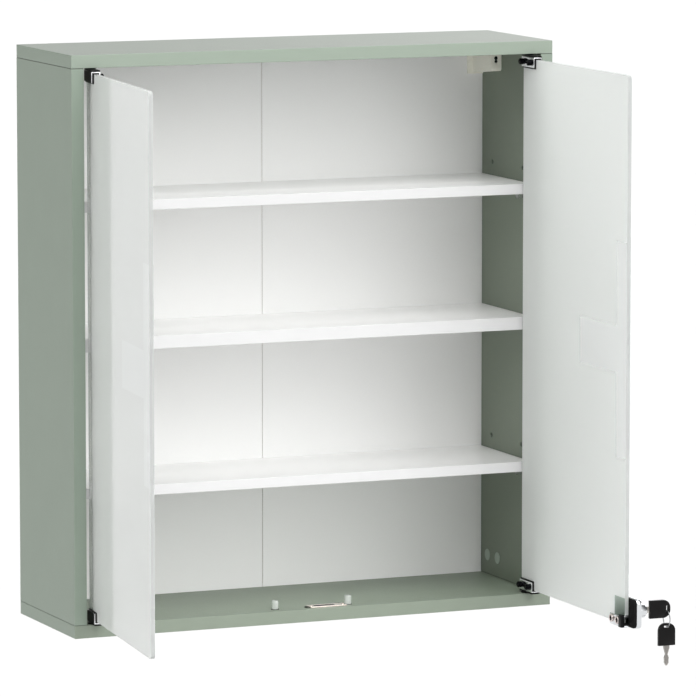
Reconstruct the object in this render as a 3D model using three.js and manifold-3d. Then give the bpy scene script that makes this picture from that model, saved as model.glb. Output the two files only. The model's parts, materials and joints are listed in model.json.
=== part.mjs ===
// Wall-hung medicine cabinet with two frosted glass doors on pivot hinges and a key lock.
// Millimetres, +Z up, +Y into the wall, +X to the right of someone facing the doors.
// Inside the model Z is counted from the underside of the bottom panel and Y from the wall.
// The finished group is moved so that the origin lies mid-width on the top panel's rear edge.

import * as THREE from 'three';
import { mergeVertices } from 'three/addons/utils/BufferGeometryUtils.js';
import Module from 'manifold-3d';

const wasm = await Module();
wasm.setup();

// Carcass
const WIDTH = 600;
const DEPTH = 185;
const HEIGHT = 670;
const BOARD = 15;
const BACK_BOARD = 3;
const BACK_RECESS = 15; // from the wall to the rear of the back board
const GROOVE_DEPTH = 6;
const GROOVE_PLAY = 0.3;
const SEAM_LAP = 8; // the two back boards meet in a half lap
const SEAM_GAP = 0.5;
const LAP_PLAY = 0.3;

// Shelves and their pins
const SHELF_BOARD = 12;
const SHELF_SETBACK = 21; // from the cabinet's front edge
const SHELF_PLAY = 0.75;
const PIN_REACH = 149.2; // from mid-height to the nearer pin holes
const PIN_PITCH = 32;
const PIN_INSET = 30; // from the shelf's front and rear edges
const PIN_RADIUS = 2.5;
const PIN_LENGTH = 8;
const PIN_PLAY = 0.3;
const LEDGE_LENGTH = 7;
const LEDGE_RADIUS = 4;

// Glass doors
const GLASS = 5;
const GLASS_CORNER = 5;
const DOOR_SIDE_GAP = 2;
const DOOR_MEETING_GAP = 2;
const DOOR_END_GAP = 6; // above and below each door
const PIVOT_INSET = 9.3; // from the glass edge at the hinge to the pivot
const DOOR_SETBACK = 8.7; // from the cabinet's front edge to the pivot
const LEFT_OPEN = 96.5; // degrees, as photographed
const RIGHT_OPEN = 90;

// Pivot hinges
const CLAMP_LENGTH = 34;
const CLAMP_HEIGHT = 12;
const CLAMP_WALL = 1.1;
const LINER = 1.2;
const LINER_PROUD = 1.5; // past the clamp, along the glass
const FIT = 0.15; // between neighbours inside a turned door
const OVERCUT = 1; // of a cutting body past the face it opens
const NECK_LENGTH = 6;
const NECK_WIDTH = 3;
const NECK_CENTRE = 12; // from the pivot, towards the free edge
const PIVOT_RADIUS = 2.5;
const PIVOT_ENTRY = 6; // how far the pivot pin enters the panel
const PIVOT_PLAY = 0.15;
const BUSH_RADIUS = 4.5;
const BUSH_FLANGE_RADIUS = 7;
const BUSH_FLANGE = 1;
const BUSH_DEPTH = 9;
const BUSH_FLOOR = 2;
const BUSH_PLAY = 0.2;
const RUNNING_GAP = 0.4;
const CLAMP_SCREW_HEAD = 4; // radius
const CLAMP_SCREW_PROUD = 5.2;
const CLAMP_SCREW_SHANK = 2; // radius
const CLAMP_SCREW_REAR = 4.3; // from the pivot towards the hinge edge
const CLAMP_SCREW_PITCH = 22;

// Lock on the free corner of the right door
const LOCK_INSET = 9; // from the free edge to the key axis
const LOCK_RISE = 13; // from the glass's lower edge to the key axis
const LOCK_OVERLAP = 17; // how far the housing reaches past the free edge
const LOCK_WIDTH = 44;
const LOCK_HEIGHT = 34.5;
const LOCK_CORNER = 6;
const LOCK_BEVEL = 1.2;
const HOUSING_THICK = 6.4;
const FRONT_WALL = 3.4; // of the housing in front of the bolt's slide
const PAD_THICK = 2;
const PAD_MARGIN = 0.6;
const PAD_UNDER = 1.9; // of rubber below the glass's lower edge
const WEB = 1.8; // under the rubber
const JAW_THICK = 2;
const JAW_REACH = 34.5; // from the free edge of the glass
const JAW_HEIGHT = 12.5;
const WEB_EDGE_GAP = 0.3; // from the free edge of the glass
const NOTCH_CORNER = 2; // in the glass, for the bolt's arm
const NOTCH_PLAY = 0.8;
const BARREL_RADIUS = 8.5;
const BARREL_PLAY = 0.2;
const BARREL_PROUD = 16.6;
const BARREL_NOSE = 2.6; // length of the narrower end
const BARREL_NOSE_RADIUS = 5.8;
const CRANK_THROW = 5.5;
const CRANK_PIN_RADIUS = 1.25;
const CRANK_PLAY = 0.3;
const SLIDE_WIDTH = 14;
const SLIDE_RIM = 0.6; // of steel past the crank pin's reach
const SLIDE_LAND = 2; // of steel above the crank slot
const SLIDE_LOST_MOTION = 1.4; // of the crank pin in its slot, up and down
const BOLT_WIDTH = 5;
const BOLT_THICK = 2.5;
const BOLT_ARM = 3; // height of the arm through the glass
const BOLT_PLAY = 0.3;
const BOLT_GLASS_GAP = 0.5;
const CASE_WALL = 1;
const JAW_SCREW_HEAD = 4.6; // radius
const JAW_SCREW_PROUD = 1.8;
const JAW_SCREW_SHANK = 2; // radius
const JAW_SCREW_FIRST = 13.2; // from the free edge
const JAW_SCREW_PITCH = 16;

// Keys and their ring
const BOW_LENGTH = 26;
const BOW_WIDTH = 20.8;
const BOW_THICK = 4;
const BOW_CORNER = 9;
const BOW_STANDOFF = 5.3; // from the barrel's face
const SLOT_LENGTH = 8;
const SLOT_WIDTH = 2.5;
const SLOT_RIM = 2.7; // of plastic between the slot and the bow's end
const BLADE_LENGTH = 23.6;
const BLADE_WIDTH = 7.5;
const BLADE_EDGE = [ // share of the length, and half width there
  [0.12, 3.75],
  [0.3, 2.95],
  [0.45, 2.3],
  [0.6, 3],
  [0.75, 2.6],
  [0.85, 2.8],
  [1, 0.7],
];
const BLADE_THICK = 2;
const TANG_LENGTH = 10;
const KEY_PLAY = 0.25;
const RING_RADIUS = 9.1;
const RING_WIRE = 0.75;
const RING_SLACK = 0.75; // under the ring where it hangs in the key's slot
const SPARE_SLACK = 0.4;

// Strike plate and door stops on the bottom panel
const STRIKE_LENGTH = 46.5;
const STRIKE_WIDTH = 15;
const STRIKE_CORNER = 1.5;
const STRIKE_THICK = 1.4;
const STRIKE_OFFSET = 13; // of its middle from the bolt's middle
const STRIKE_SCREW_RADIUS = 1.6;
const STRIKE_SCREW_INSET = 3.2;
const MORTISE_DEPTH = 10;
const MORTISE_PLAY = 0.8;
const MORTISE_RUN = 19.4; // of free slot past the bolt
const MORTISE_SPARE = 1.75; // on either face of the bolt
const STOP_FROM_MIDDLE = 46;
const STOP_RADIUS = 4;
const STOP_HEIGHT = 10.4;
const STOP_STEM_RADIUS = 2.5;
const STOP_STEM_LENGTH = 8;
const STOP_GAP = 0.3;

// Cabinet hangers in the upper rear corners
const HANGER_THICK = 14;
const HANGER_HEIGHT = 28.8; // at the front
const HANGER_REAR_HEIGHT = 33.8;
const HANGER_LENGTH = 56;
const HANGER_FLANGE = 3; // thickness, against the back board
const HANGER_FLANGE_REACH = 6; // past the housing's side
const HANGER_FLANGE_DROP = 1.2; // below the housing
const HANGER_CORNER = 4;
const HOOK_PLATE = 2.5;
const HOOK_ARM = 12;
const HOOK_DROP = 16; // of the tip below the arm
const HOOK_TIP = 3;
const HOOK_WALL_GAP = 3.5;
const HOOK_EMBED = 44; // length of arm inside the housing
const HOOK_ARM_TOP = 9; // below the top of the housing
const HOOK_TRAVEL = 4;
const HOOK_PLAY = 0.5;
const HANGER_SCREW_RADIUS = 2.2;
const HANGER_SCREW_LENGTH = 7.5;
const HANGER_SCREW_SINK = 0.8;
const HANGER_SCREW_DROP = 13; // from the top of the housing to the upper screw
const HANGER_SECOND_DROP = 17;
const HANGER_SECOND_RADIUS = 2.2;
const HANGER_SECOND_DEPTH = 6;
const SCREW_PLAY = 0.3;

// Places worked out from the sizes above
const INNER_X = WIDTH / 2 - BOARD;
const INNER_BOTTOM = BOARD;
const INNER_TOP = HEIGHT - BOARD;
const MID_Z = HEIGHT / 2;
const BACK_REAR_Y = -BACK_RECESS;
const BACK_FRONT_Y = BACK_REAR_Y - BACK_BOARD;
const SHELF_FRONT_Y = -DEPTH + SHELF_SETBACK;
const PIVOT_Y = -DEPTH + DOOR_SETBACK;
const PIVOT_X = INNER_X - DOOR_SIDE_GAP - PIVOT_INSET;
const DOOR_WIDTH = INNER_X - DOOR_SIDE_GAP - DOOR_MEETING_GAP / 2;
const DOOR_BOTTOM = INNER_BOTTOM + DOOR_END_GAP;
const DOOR_TOP = INNER_TOP - DOOR_END_GAP;
const FREE_EDGE = DOOR_WIDTH - PIVOT_INSET; // from the pivot to the free edge
const HALF_GLASS = GLASS / 2;
const CLAMP_WIDTH = GLASS + 2 * (LINER + 2 * FIT + CLAMP_WALL);
const HALF_CLAMP = CLAMP_WIDTH / 2;
const UPPER_PIN_Z = MID_Z + PIN_REACH;
const LOWER_PIN_Z = MID_Z - PIN_REACH - PIN_PITCH;
const PIN_ROWS = { rear: BACK_FRONT_Y - PIN_INSET, front: SHELF_FRONT_Y + PIN_INSET };
const SIDES = { left: -1, right: 1 };
const ENDS = { top: 1, bottom: -1 };

// Finishes
const finish = (color, roughness, metalness) => ({ color, roughness, metalness });
const SAGE_BOARD = finish('#9aa79b', 0.55, 0);
const WHITE_BOARD = finish('#f0f0ee', 0.5, 0);
const FROSTED_GLASS = finish('#dfe4e0', 0.4, 0);
const CHROME = finish('#d8dadc', 0.15, 1);
const BLACK_NYLON = finish('#17181a', 0.45, 0);
const BLACK_RUBBER = finish('#1c1d1e', 0.7, 0);
const BLACK_OXIDE = finish('#1a1b1c', 0.4, 0.6);
const STEEL = finish('#b4b6b8', 0.3, 1);
const COPPER_PLATE = finish('#c9a596', 0.3, 1);
const CLEAR_PLASTIC = finish('#e2e6e0', 0.3, 0);
const BEIGE_PLASTIC = finish('#b5b4a2', 0.5, 0);

// A piece's triangles wound so that its faces point out.
function facingOut(geometry) {
  const place = geometry.getAttribute('position');
  const index = geometry.getIndex();
  const a = new THREE.Vector3();
  const b = new THREE.Vector3();
  const c = new THREE.Vector3();
  let volume = 0;
  for (let i = 0; i < index.count; i += 3) {
    a.fromBufferAttribute(place, index.getX(i));
    b.fromBufferAttribute(place, index.getX(i + 1));
    c.fromBufferAttribute(place, index.getX(i + 2));
    volume += a.dot(b.cross(c));
  }
  if (volume < 0) index.array.reverse();
  return geometry;
}

// Only the positions, with the vertices that neighbouring faces share merged.
function welded(geometry) {
  const bare = geometry.clone();
  bare.deleteAttribute('normal');
  bare.deleteAttribute('uv');
  return facingOut(mergeVertices(bare, 1e-4));
}

function solid(geometry) {
  const shell = welded(geometry);
  const vertProperties = new Float32Array(shell.getAttribute('position').array);
  const triVerts = new Uint32Array(shell.getIndex().array);
  return new wasm.Manifold(new wasm.Mesh({ numProp: 3, vertProperties, triVerts }));
}

function surface(body) {
  const mesh = body.getMesh();
  const geometry = new THREE.BufferGeometry();
  geometry.setAttribute('position', new THREE.BufferAttribute(new Float32Array(mesh.vertProperties), 3));
  geometry.setIndex(new THREE.BufferAttribute(new Uint32Array(mesh.triVerts), 1));
  geometry.computeVertexNormals();
  return geometry;
}

function cut(geometry, ...tools) {
  let body = solid(geometry);
  for (const tool of tools) body = body.subtract(solid(tool));
  return surface(body);
}

function joined(...pieces) {
  let body = solid(pieces[0]);
  for (const piece of pieces.slice(1)) body = body.add(solid(piece));
  return surface(body);
}

// A block between two values on each axis, given in either order.
function block([x0, x1], [y0, y1], [z0, z1]) {
  const geometry = new THREE.BoxGeometry(Math.abs(x1 - x0), Math.abs(y1 - y0), Math.abs(z1 - z0));
  return geometry.translate((x0 + x1) / 2, (y0 + y1) / 2, (z0 + z1) / 2);
}

// Round bars along each axis, between two values on it.
function barX(radius, [x0, x1], y, z, facets = 16) {
  const geometry = new THREE.CylinderGeometry(radius, radius, Math.abs(x1 - x0), facets);
  return geometry.rotateZ(Math.PI / 2).translate((x0 + x1) / 2, y, z);
}

function barY(radius, x, [y0, y1], z, facets = 16) {
  const geometry = new THREE.CylinderGeometry(radius, radius, Math.abs(y1 - y0), facets);
  return geometry.translate(x, (y0 + y1) / 2, z);
}

function barZ(radius, x, y, [z0, z1], facets = 16) {
  const geometry = new THREE.CylinderGeometry(radius, radius, Math.abs(z1 - z0), facets);
  return geometry.rotateX(Math.PI / 2).translate(x, y, (z0 + z1) / 2);
}

function outline(points) {
  return new THREE.Shape(points.map(([u, v]) => new THREE.Vector2(u, v)));
}

// A rectangle about the origin with round corners.
function roundedRectangle(width, height, radius) {
  const w = width / 2 - radius;
  const h = height / 2 - radius;
  const shape = new THREE.Shape();
  shape.absarc(w, h, radius, 0, Math.PI / 2);
  shape.absarc(-w, h, radius, Math.PI / 2, Math.PI);
  shape.absarc(-w, -h, radius, Math.PI, 1.5 * Math.PI);
  shape.absarc(w, -h, radius, 1.5 * Math.PI, 2 * Math.PI);
  return shape;
}

// An outline drawn in X and Z, given a thickness along Y.
function slabY(shape, [y0, y1], curveSegments = 5) {
  const depth = Math.abs(y1 - y0);
  const geometry = new THREE.ExtrudeGeometry(shape, { depth, bevelEnabled: false, curveSegments });
  return geometry.rotateX(Math.PI / 2).translate(0, Math.max(y0, y1), 0);
}

// An outline drawn in Y and Z, given a thickness along X.
function slabX(shape, [x0, x1], curveSegments = 5) {
  const depth = Math.abs(x1 - x0);
  const geometry = new THREE.ExtrudeGeometry(shape, { depth, bevelEnabled: false, curveSegments });
  return geometry.rotateX(Math.PI / 2).rotateZ(Math.PI / 2).translate(Math.min(x0, x1), 0, 0);
}

// An outline drawn in X and Y, given a height along Z.
function slabZ(shape, [z0, z1], curveSegments = 5) {
  const depth = Math.abs(z1 - z0);
  const geometry = new THREE.ExtrudeGeometry(shape, { depth, bevelEnabled: false, curveSegments });
  return geometry.translate(0, 0, Math.min(z0, z1));
}

function add(parent, name, geometry, look) {
  const mesh = new THREE.Mesh(geometry, new THREE.MeshStandardMaterial(look));
  mesh.name = name;
  parent.add(mesh);
  return mesh;
}

const cabinet = new THREE.Group();

// Lock places, counted in the closed right door's frame: x from the pivot, z from the floor.
const LOCK_X = -FREE_EDGE + LOCK_INSET;
const LOCK_Z = DOOR_BOTTOM + LOCK_RISE;
const SLIDE_X = [0, SLIDE_WIDTH].map((step) => LOCK_X - CRANK_THROW - CRANK_PIN_RADIUS - SLIDE_RIM + step);
const BOLT_X = [SLIDE_X[0], SLIDE_X[0] + BOLT_WIDTH];
const BOLT_Y = [HALF_GLASS + BOLT_GLASS_GAP, HALF_GLASS + BOLT_GLASS_GAP + BOLT_THICK];
const WEB_BOTTOM = DOOR_BOTTOM - 2 * FIT - PAD_UNDER - WEB;
const ARM_BOTTOM = DOOR_BOTTOM + NOTCH_PLAY + CRANK_THROW;
const ARM_TOP = ARM_BOTTOM + BOLT_ARM;

// Grooves that take the back boards, and the bores in the top and bottom panels.
const GROOVE_Y = [BACK_FRONT_Y - GROOVE_PLAY, BACK_REAR_Y + GROOVE_PLAY];
const GROOVE_X = INNER_X + GROOVE_DEPTH;

function bushBore(side, face, end) {
  const depth = BUSH_DEPTH + BUSH_PLAY;
  return barZ(BUSH_RADIUS + BUSH_PLAY, side * PIVOT_X, PIVOT_Y, [face - end * OVERCUT, face + end * depth]);
}

const topGroove = block([-GROOVE_X, GROOVE_X], GROOVE_Y, [INNER_TOP - OVERCUT, INNER_TOP + GROOVE_DEPTH]);
const topPanel = cut(
  block([-WIDTH / 2, WIDTH / 2], [-DEPTH, 0], [INNER_TOP, HEIGHT]),
  topGroove,
  bushBore(SIDES.left, INNER_TOP, ENDS.top),
  bushBore(SIDES.right, INNER_TOP, ENDS.top),
);
add(cabinet, 'top_panel', topPanel, SAGE_BOARD);

// Bottom panel, with a mortise for the bolt and holes for the two door stops.
const STOP_Y = PIVOT_Y + HALF_GLASS + STOP_GAP + STOP_RADIUS;
const bottomGroove = block(
  [-GROOVE_X, GROOVE_X],
  GROOVE_Y,
  [INNER_BOTTOM - GROOVE_DEPTH, INNER_BOTTOM + OVERCUT],
);
const MORTISE_X = PIVOT_X + (BOLT_X[0] + BOLT_X[1]) / 2;
const MORTISE_Y = PIVOT_Y + (BOLT_Y[0] + BOLT_Y[1]) / 2;
const BOLT_SLOT_X = [
  MORTISE_X - BOLT_WIDTH / 2 - MORTISE_PLAY,
  MORTISE_X + BOLT_WIDTH / 2 + MORTISE_PLAY + MORTISE_RUN,
];
const BOLT_SLOT_Y = [
  MORTISE_Y - BOLT_THICK / 2 - MORTISE_SPARE,
  MORTISE_Y + BOLT_THICK / 2 + MORTISE_SPARE,
];
const mortise = block(BOLT_SLOT_X, BOLT_SLOT_Y, [INNER_BOTTOM - MORTISE_DEPTH, INNER_BOTTOM + OVERCUT]);
const stopBore = (side) => barZ(
  STOP_STEM_RADIUS + PIN_PLAY,
  side * STOP_FROM_MIDDLE,
  STOP_Y,
  [INNER_BOTTOM - STOP_STEM_LENGTH - PIN_PLAY, INNER_BOTTOM + OVERCUT],
  12,
);
const bottomPanel = cut(
  block([-WIDTH / 2, WIDTH / 2], [-DEPTH, 0], [0, INNER_BOTTOM]),
  bottomGroove,
  bushBore(SIDES.left, INNER_BOTTOM, ENDS.bottom),
  bushBore(SIDES.right, INNER_BOTTOM, ENDS.bottom),
  mortise,
  stopBore(SIDES.left),
  stopBore(SIDES.right),
);
add(cabinet, 'bottom_panel', bottomPanel, SAGE_BOARD);

// Side panels stand between top and bottom, grooved and bored for the shelf pins.
function sidePanel(side) {
  const groove = block(
    [side * (INNER_X - OVERCUT), side * GROOVE_X],
    GROOVE_Y,
    [INNER_BOTTOM - OVERCUT, INNER_TOP + OVERCUT],
  );
  const bores = [];
  for (const first of [UPPER_PIN_Z, LOWER_PIN_Z]) {
    for (const z of [first, first + PIN_PITCH]) {
      for (const y of Object.values(PIN_ROWS)) {
        const reach = side * (INNER_X + PIN_LENGTH + PIN_PLAY);
        bores.push(barX(PIN_RADIUS + PIN_PLAY, [side * (INNER_X - OVERCUT), reach], y, z, 10));
      }
    }
  }
  const panel = block([side * INNER_X, side * WIDTH / 2], [-DEPTH, 0], [INNER_BOTTOM, INNER_TOP]);
  return cut(panel, groove, ...bores);
}
for (const [name, side] of Object.entries(SIDES)) {
  add(cabinet, name + '_side_panel', sidePanel(side), SAGE_BOARD);
}

// Hanger places: the arm of each hook leaves its housing through a window in the back.
const HANGER_TOP = INNER_TOP;
const ARM_Z = [HANGER_TOP - HOOK_ARM_TOP - HOOK_ARM, HANGER_TOP - HOOK_ARM_TOP];
const HOOK_X = INNER_X - HANGER_THICK / 2;
const ARM_CLEAR = HOOK_TRAVEL + HOOK_PLAY;

function armSpace(side, yRange) {
  const half = HOOK_PLATE / 2 + HOOK_PLAY;
  const height = [ARM_Z[0] - ARM_CLEAR, ARM_Z[1] + ARM_CLEAR];
  return block([side * (HOOK_X - half), side * (HOOK_X + half)], yRange, height);
}

// Back boards: each slides in the grooves, and the pair meet mid-width in a half lap.
const BACK_X = INNER_X + GROOVE_DEPTH - GROOVE_PLAY;
const BACK_Z = [
  INNER_BOTTOM - GROOVE_DEPTH + GROOVE_PLAY,
  INNER_TOP + GROOVE_DEPTH - GROOVE_PLAY,
];
const LAYER = (BACK_BOARD - LAP_PLAY) / 2;
const leftBack = slabZ(outline([
  [-BACK_X, BACK_FRONT_Y],
  [-SEAM_GAP / 2, BACK_FRONT_Y],
  [-SEAM_GAP / 2, BACK_REAR_Y - LAYER],
  [SEAM_LAP, BACK_REAR_Y - LAYER],
  [SEAM_LAP, BACK_REAR_Y],
  [-BACK_X, BACK_REAR_Y],
]), BACK_Z);
const rightBack = slabZ(outline([
  [SEAM_GAP / 2, BACK_FRONT_Y],
  [BACK_X, BACK_FRONT_Y],
  [BACK_X, BACK_REAR_Y],
  [SEAM_LAP + SEAM_GAP, BACK_REAR_Y],
  [SEAM_LAP + SEAM_GAP, BACK_FRONT_Y + LAYER],
  [SEAM_GAP / 2, BACK_FRONT_Y + LAYER],
]), BACK_Z);
const BACK_WINDOW_Y = [BACK_FRONT_Y - OVERCUT, BACK_REAR_Y + OVERCUT];
add(cabinet, 'back_panel_left', cut(leftBack, armSpace(SIDES.left, BACK_WINDOW_Y)), WHITE_BOARD);
add(cabinet, 'back_panel_right', cut(rightBack, armSpace(SIDES.right, BACK_WINDOW_Y)), WHITE_BOARD);

// Shelves: the middle one is fixed at mid-height, the others rest on pins.
const SHELF_Y = [SHELF_FRONT_Y, BACK_FRONT_Y];
const middleShelf = block([-INNER_X, INNER_X], SHELF_Y, [MID_Z - BOARD / 2, MID_Z + BOARD / 2]);
add(cabinet, 'middle_shelf', middleShelf, WHITE_BOARD);
const SHELF_HALF = INNER_X - SHELF_PLAY;
const SHELVES = { upper: UPPER_PIN_Z, lower: LOWER_PIN_Z };
for (const [level, pinZ] of Object.entries(SHELVES)) {
  const underside = pinZ + LEDGE_RADIUS;
  const shelf = block([-SHELF_HALF, SHELF_HALF], SHELF_Y, [underside, underside + SHELF_BOARD]);
  add(cabinet, level + '_shelf', shelf, WHITE_BOARD);
}

// Shelf pins: a round peg in the side panel and a ledge with a flat top and a round underside.
function shelfPin(side, y, z) {
  const ledge = new THREE.Shape();
  ledge.moveTo(LEDGE_RADIUS, LEDGE_RADIUS);
  ledge.lineTo(-LEDGE_RADIUS, LEDGE_RADIUS);
  ledge.absarc(0, 0, LEDGE_RADIUS, Math.PI, 2 * Math.PI);
  const ledgeBody = slabX(ledge, [side * INNER_X, side * (INNER_X - LEDGE_LENGTH)]).translate(0, y, z);
  const peg = barX(PIN_RADIUS, [side * (INNER_X - OVERCUT), side * (INNER_X + PIN_LENGTH)], y, z, 10);
  return joined(ledgeBody, peg);
}
for (const [level, z] of Object.entries(SHELVES)) {
  for (const [sideName, side] of Object.entries(SIDES)) {
    for (const [row, y] of Object.entries(PIN_ROWS)) {
      add(cabinet, `${level}_shelf_pin_${sideName}_${row}`, shelfPin(side, y, z), CLEAR_PLASTIC);
    }
  }
}

// Hinge bushes: flanged nylon cups pressed into the top and bottom panels.
function hingeBush(side, end) {
  const bore = PIVOT_RADIUS + PIVOT_PLAY;
  const profile = [
    [0, BUSH_DEPTH - BUSH_FLOOR],
    [bore, BUSH_DEPTH - BUSH_FLOOR],
    [bore, -BUSH_FLANGE],
    [BUSH_FLANGE_RADIUS, -BUSH_FLANGE],
    [BUSH_FLANGE_RADIUS, 0],
    [BUSH_RADIUS, 0],
    [BUSH_RADIUS, BUSH_DEPTH],
    [0, BUSH_DEPTH],
  ].map(([r, h]) => new THREE.Vector2(r, h));
  const cup = new THREE.LatheGeometry(profile, 16).rotateX(end * Math.PI / 2);
  const face = end > 0 ? INNER_TOP : INNER_BOTTOM;
  return welded(cup.translate(side * PIVOT_X, PIVOT_Y, face));
}

// One pivot hinge in the closed door's frame: the pivot is at x = y = 0 and the glass runs
// from the hinge edge at +side towards the free edge at -side. The clip is a steel channel
// over the glass edge, and the nylon insert lines it and carries the pivot pin outside it.
function hinge(door, name, side, endName) {
  const end = ENDS[endName];
  const label = `${name}_${endName}_hinge`;
  const glassEdge = end > 0 ? DOOR_TOP : DOOR_BOTTOM;
  const level = (rise) => glassEdge + end * rise;
  const along = (distance) => -side * distance;
  const length = [along(-PIVOT_INSET), along(CLAMP_LENGTH - PIVOT_INSET)];
  const linerTop = FIT + LINER;
  const webIn = linerTop + FIT;
  const webOut = webIn + CLAMP_WALL;
  const plateIn = webOut + FIT;
  const plateOut = DOOR_END_GAP - BUSH_FLANGE - RUNNING_GAP;
  const lip = webOut - CLAMP_HEIGHT;
  const screwPlaces = { rear: -CLAMP_SCREW_REAR, front: CLAMP_SCREW_PITCH - CLAMP_SCREW_REAR };
  const screwZ = level((webOut + lip) / 2);
  const shankIn = HALF_GLASS + FIT + LINER + FIT;

  const channelIn = HALF_CLAMP - CLAMP_WALL;
  const channel = slabX(outline([
    [-HALF_CLAMP, level(lip)],
    [-HALF_CLAMP, level(webOut)],
    [HALF_CLAMP, level(webOut)],
    [HALF_CLAMP, level(lip)],
    [channelIn, level(lip)],
    [channelIn, level(webIn)],
    [-channelIn, level(webIn)],
    [-channelIn, level(lip)],
  ]), length);
  const neckX = (play) => [
    along(NECK_CENTRE - NECK_LENGTH / 2 - play),
    along(NECK_CENTRE + NECK_LENGTH / 2 + play),
  ];
  const neckY = (play) => [-NECK_WIDTH / 2 - play, NECK_WIDTH / 2 + play];
  const neckHole = block(neckX(FIT), neckY(FIT), [level(webIn - FIT), level(webOut + FIT)]);
  const flangeY = [channelIn - FIT, HALF_CLAMP + OVERCUT];
  const screwHoles = Object.values(screwPlaces).map(
    (place) => barY(CLAMP_SCREW_SHANK + SCREW_PLAY, along(place), flangeY, screwZ, 12),
  );
  add(door, `${label}_clamp`, cut(channel, neckHole, ...screwHoles), CHROME);

  const linerOut = HALF_GLASS + FIT + LINER;
  const linerIn = HALF_GLASS + FIT;
  const linerLip = level(lip - LINER_PROUD);
  const linerLength = [along(-PIVOT_INSET), along(CLAMP_LENGTH - PIVOT_INSET + LINER_PROUD)];
  const liner = slabX(outline([
    [-linerOut, linerLip],
    [-linerOut, level(linerTop)],
    [linerOut, level(linerTop)],
    [linerOut, linerLip],
    [linerIn, linerLip],
    [linerIn, level(FIT)],
    [-linerIn, level(FIT)],
    [-linerIn, linerLip],
  ]), linerLength);
  const plate = block(length, [-HALF_CLAMP, HALF_CLAMP], [level(plateIn), level(plateOut)]);
  const neck = block(neckX(0), neckY(0), [level(linerTop - LINER / 2), level((plateIn + plateOut) / 2)]);
  const pinTop = DOOR_END_GAP + PIVOT_ENTRY;
  const pin = barZ(PIVOT_RADIUS, 0, 0, [level((plateIn + plateOut) / 2), level(pinTop)]);
  add(door, `${label}_insert`, joined(liner, neck, plate, pin), BLACK_NYLON);

  for (const [row, place] of Object.entries(screwPlaces)) {
    const head = [HALF_CLAMP + FIT, HALF_CLAMP + FIT + CLAMP_SCREW_PROUD];
    const screw = joined(
      barY(CLAMP_SCREW_HEAD, along(place), head, screwZ),
      barY(CLAMP_SCREW_SHANK, along(place), [shankIn, head[0] + OVERCUT], screwZ, 12),
    );
    add(door, `${label}_screw_${row}`, screw, BLACK_OXIDE);
  }
}

// The right door's glass loses its lower free corner to the arm of the bolt.
function cornerCut(yRange) {
  const inner = BOLT_X[1] + NOTCH_PLAY;
  const width = inner + FREE_EDGE + 2 * NOTCH_CORNER;
  const rise = ARM_TOP + NOTCH_PLAY - DOOR_BOTTOM;
  const shape = roundedRectangle(width, 2 * rise, NOTCH_CORNER);
  return slabY(shape, yRange, 3).translate(inner - width / 2, 0, DOOR_BOTTOM);
}

// Door glass: ground corners, and on the right door a cut corner for the bolt.
function doorGlass(side) {
  const sheet = roundedRectangle(DOOR_WIDTH, DOOR_TOP - DOOR_BOTTOM, GLASS_CORNER);
  const middleX = -side * (DOOR_WIDTH / 2 - PIVOT_INSET);
  const glass = slabY(sheet, [-HALF_GLASS, HALF_GLASS], 4).translate(middleX, 0, MID_Z);
  if (side === SIDES.left) return welded(glass);
  return cut(glass, cornerCut([-HALF_GLASS - OVERCUT, HALF_GLASS + OVERCUT]));
}

function hungDoor(name, openDegrees) {
  const side = SIDES[name];
  const door = new THREE.Group();
  door.position.set(side * PIVOT_X, PIVOT_Y, 0);
  door.rotation.z = side * THREE.MathUtils.degToRad(openDegrees);
  add(door, `${name}_door_glass`, doorGlass(side), FROSTED_GLASS);
  for (const endName of Object.keys(ENDS)) {
    add(cabinet, `${name}_${endName}_hinge_bush`, hingeBush(side, ENDS[endName]), BLACK_NYLON);
    hinge(door, name, side, endName);
  }
  cabinet.add(door);
  return door;
}
hungDoor('left', LEFT_OPEN);
const rightDoor = hungDoor('right', RIGHT_OPEN);

// Lock housing: an outer plate that also covers the edge of the left door, a web under the
// glass and an inner jaw, cast in one. A pocket behind the front wall holds the bolt's slide.
const PAD_OUT = -HALF_GLASS - FIT - PAD_THICK;
const PLATE_IN = PAD_OUT - FIT;
const PLATE_OUT = PLATE_IN - HOUSING_THICK;
const PLATE_X = -FREE_EDGE - LOCK_OVERLAP + LOCK_WIDTH / 2;
const PLATE_Z = WEB_BOTTOM + LOCK_HEIGHT / 2;
const POCKET_Y = [PLATE_OUT + FRONT_WALL, PLATE_IN + OVERCUT];
const SLIDE_Y = [POCKET_Y[0] + BOLT_PLAY, POCKET_Y[0] + BOLT_PLAY + BOLT_THICK];
const slotHalf = CRANK_PIN_RADIUS + CRANK_PLAY + SLIDE_LOST_MOTION;
const SLIDE_TOP = LOCK_Z + slotHalf + SLIDE_LAND;
const CASE_X = [BOLT_X[0] - BOLT_PLAY - CASE_WALL, BOLT_X[1] + BOLT_PLAY + CASE_WALL];
const JAW_X = [CASE_X[1] + FIT, -FREE_EDGE + JAW_REACH];
const JAW_Y = [HALF_GLASS + FIT, HALF_GLASS + FIT + JAW_THICK];

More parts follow.
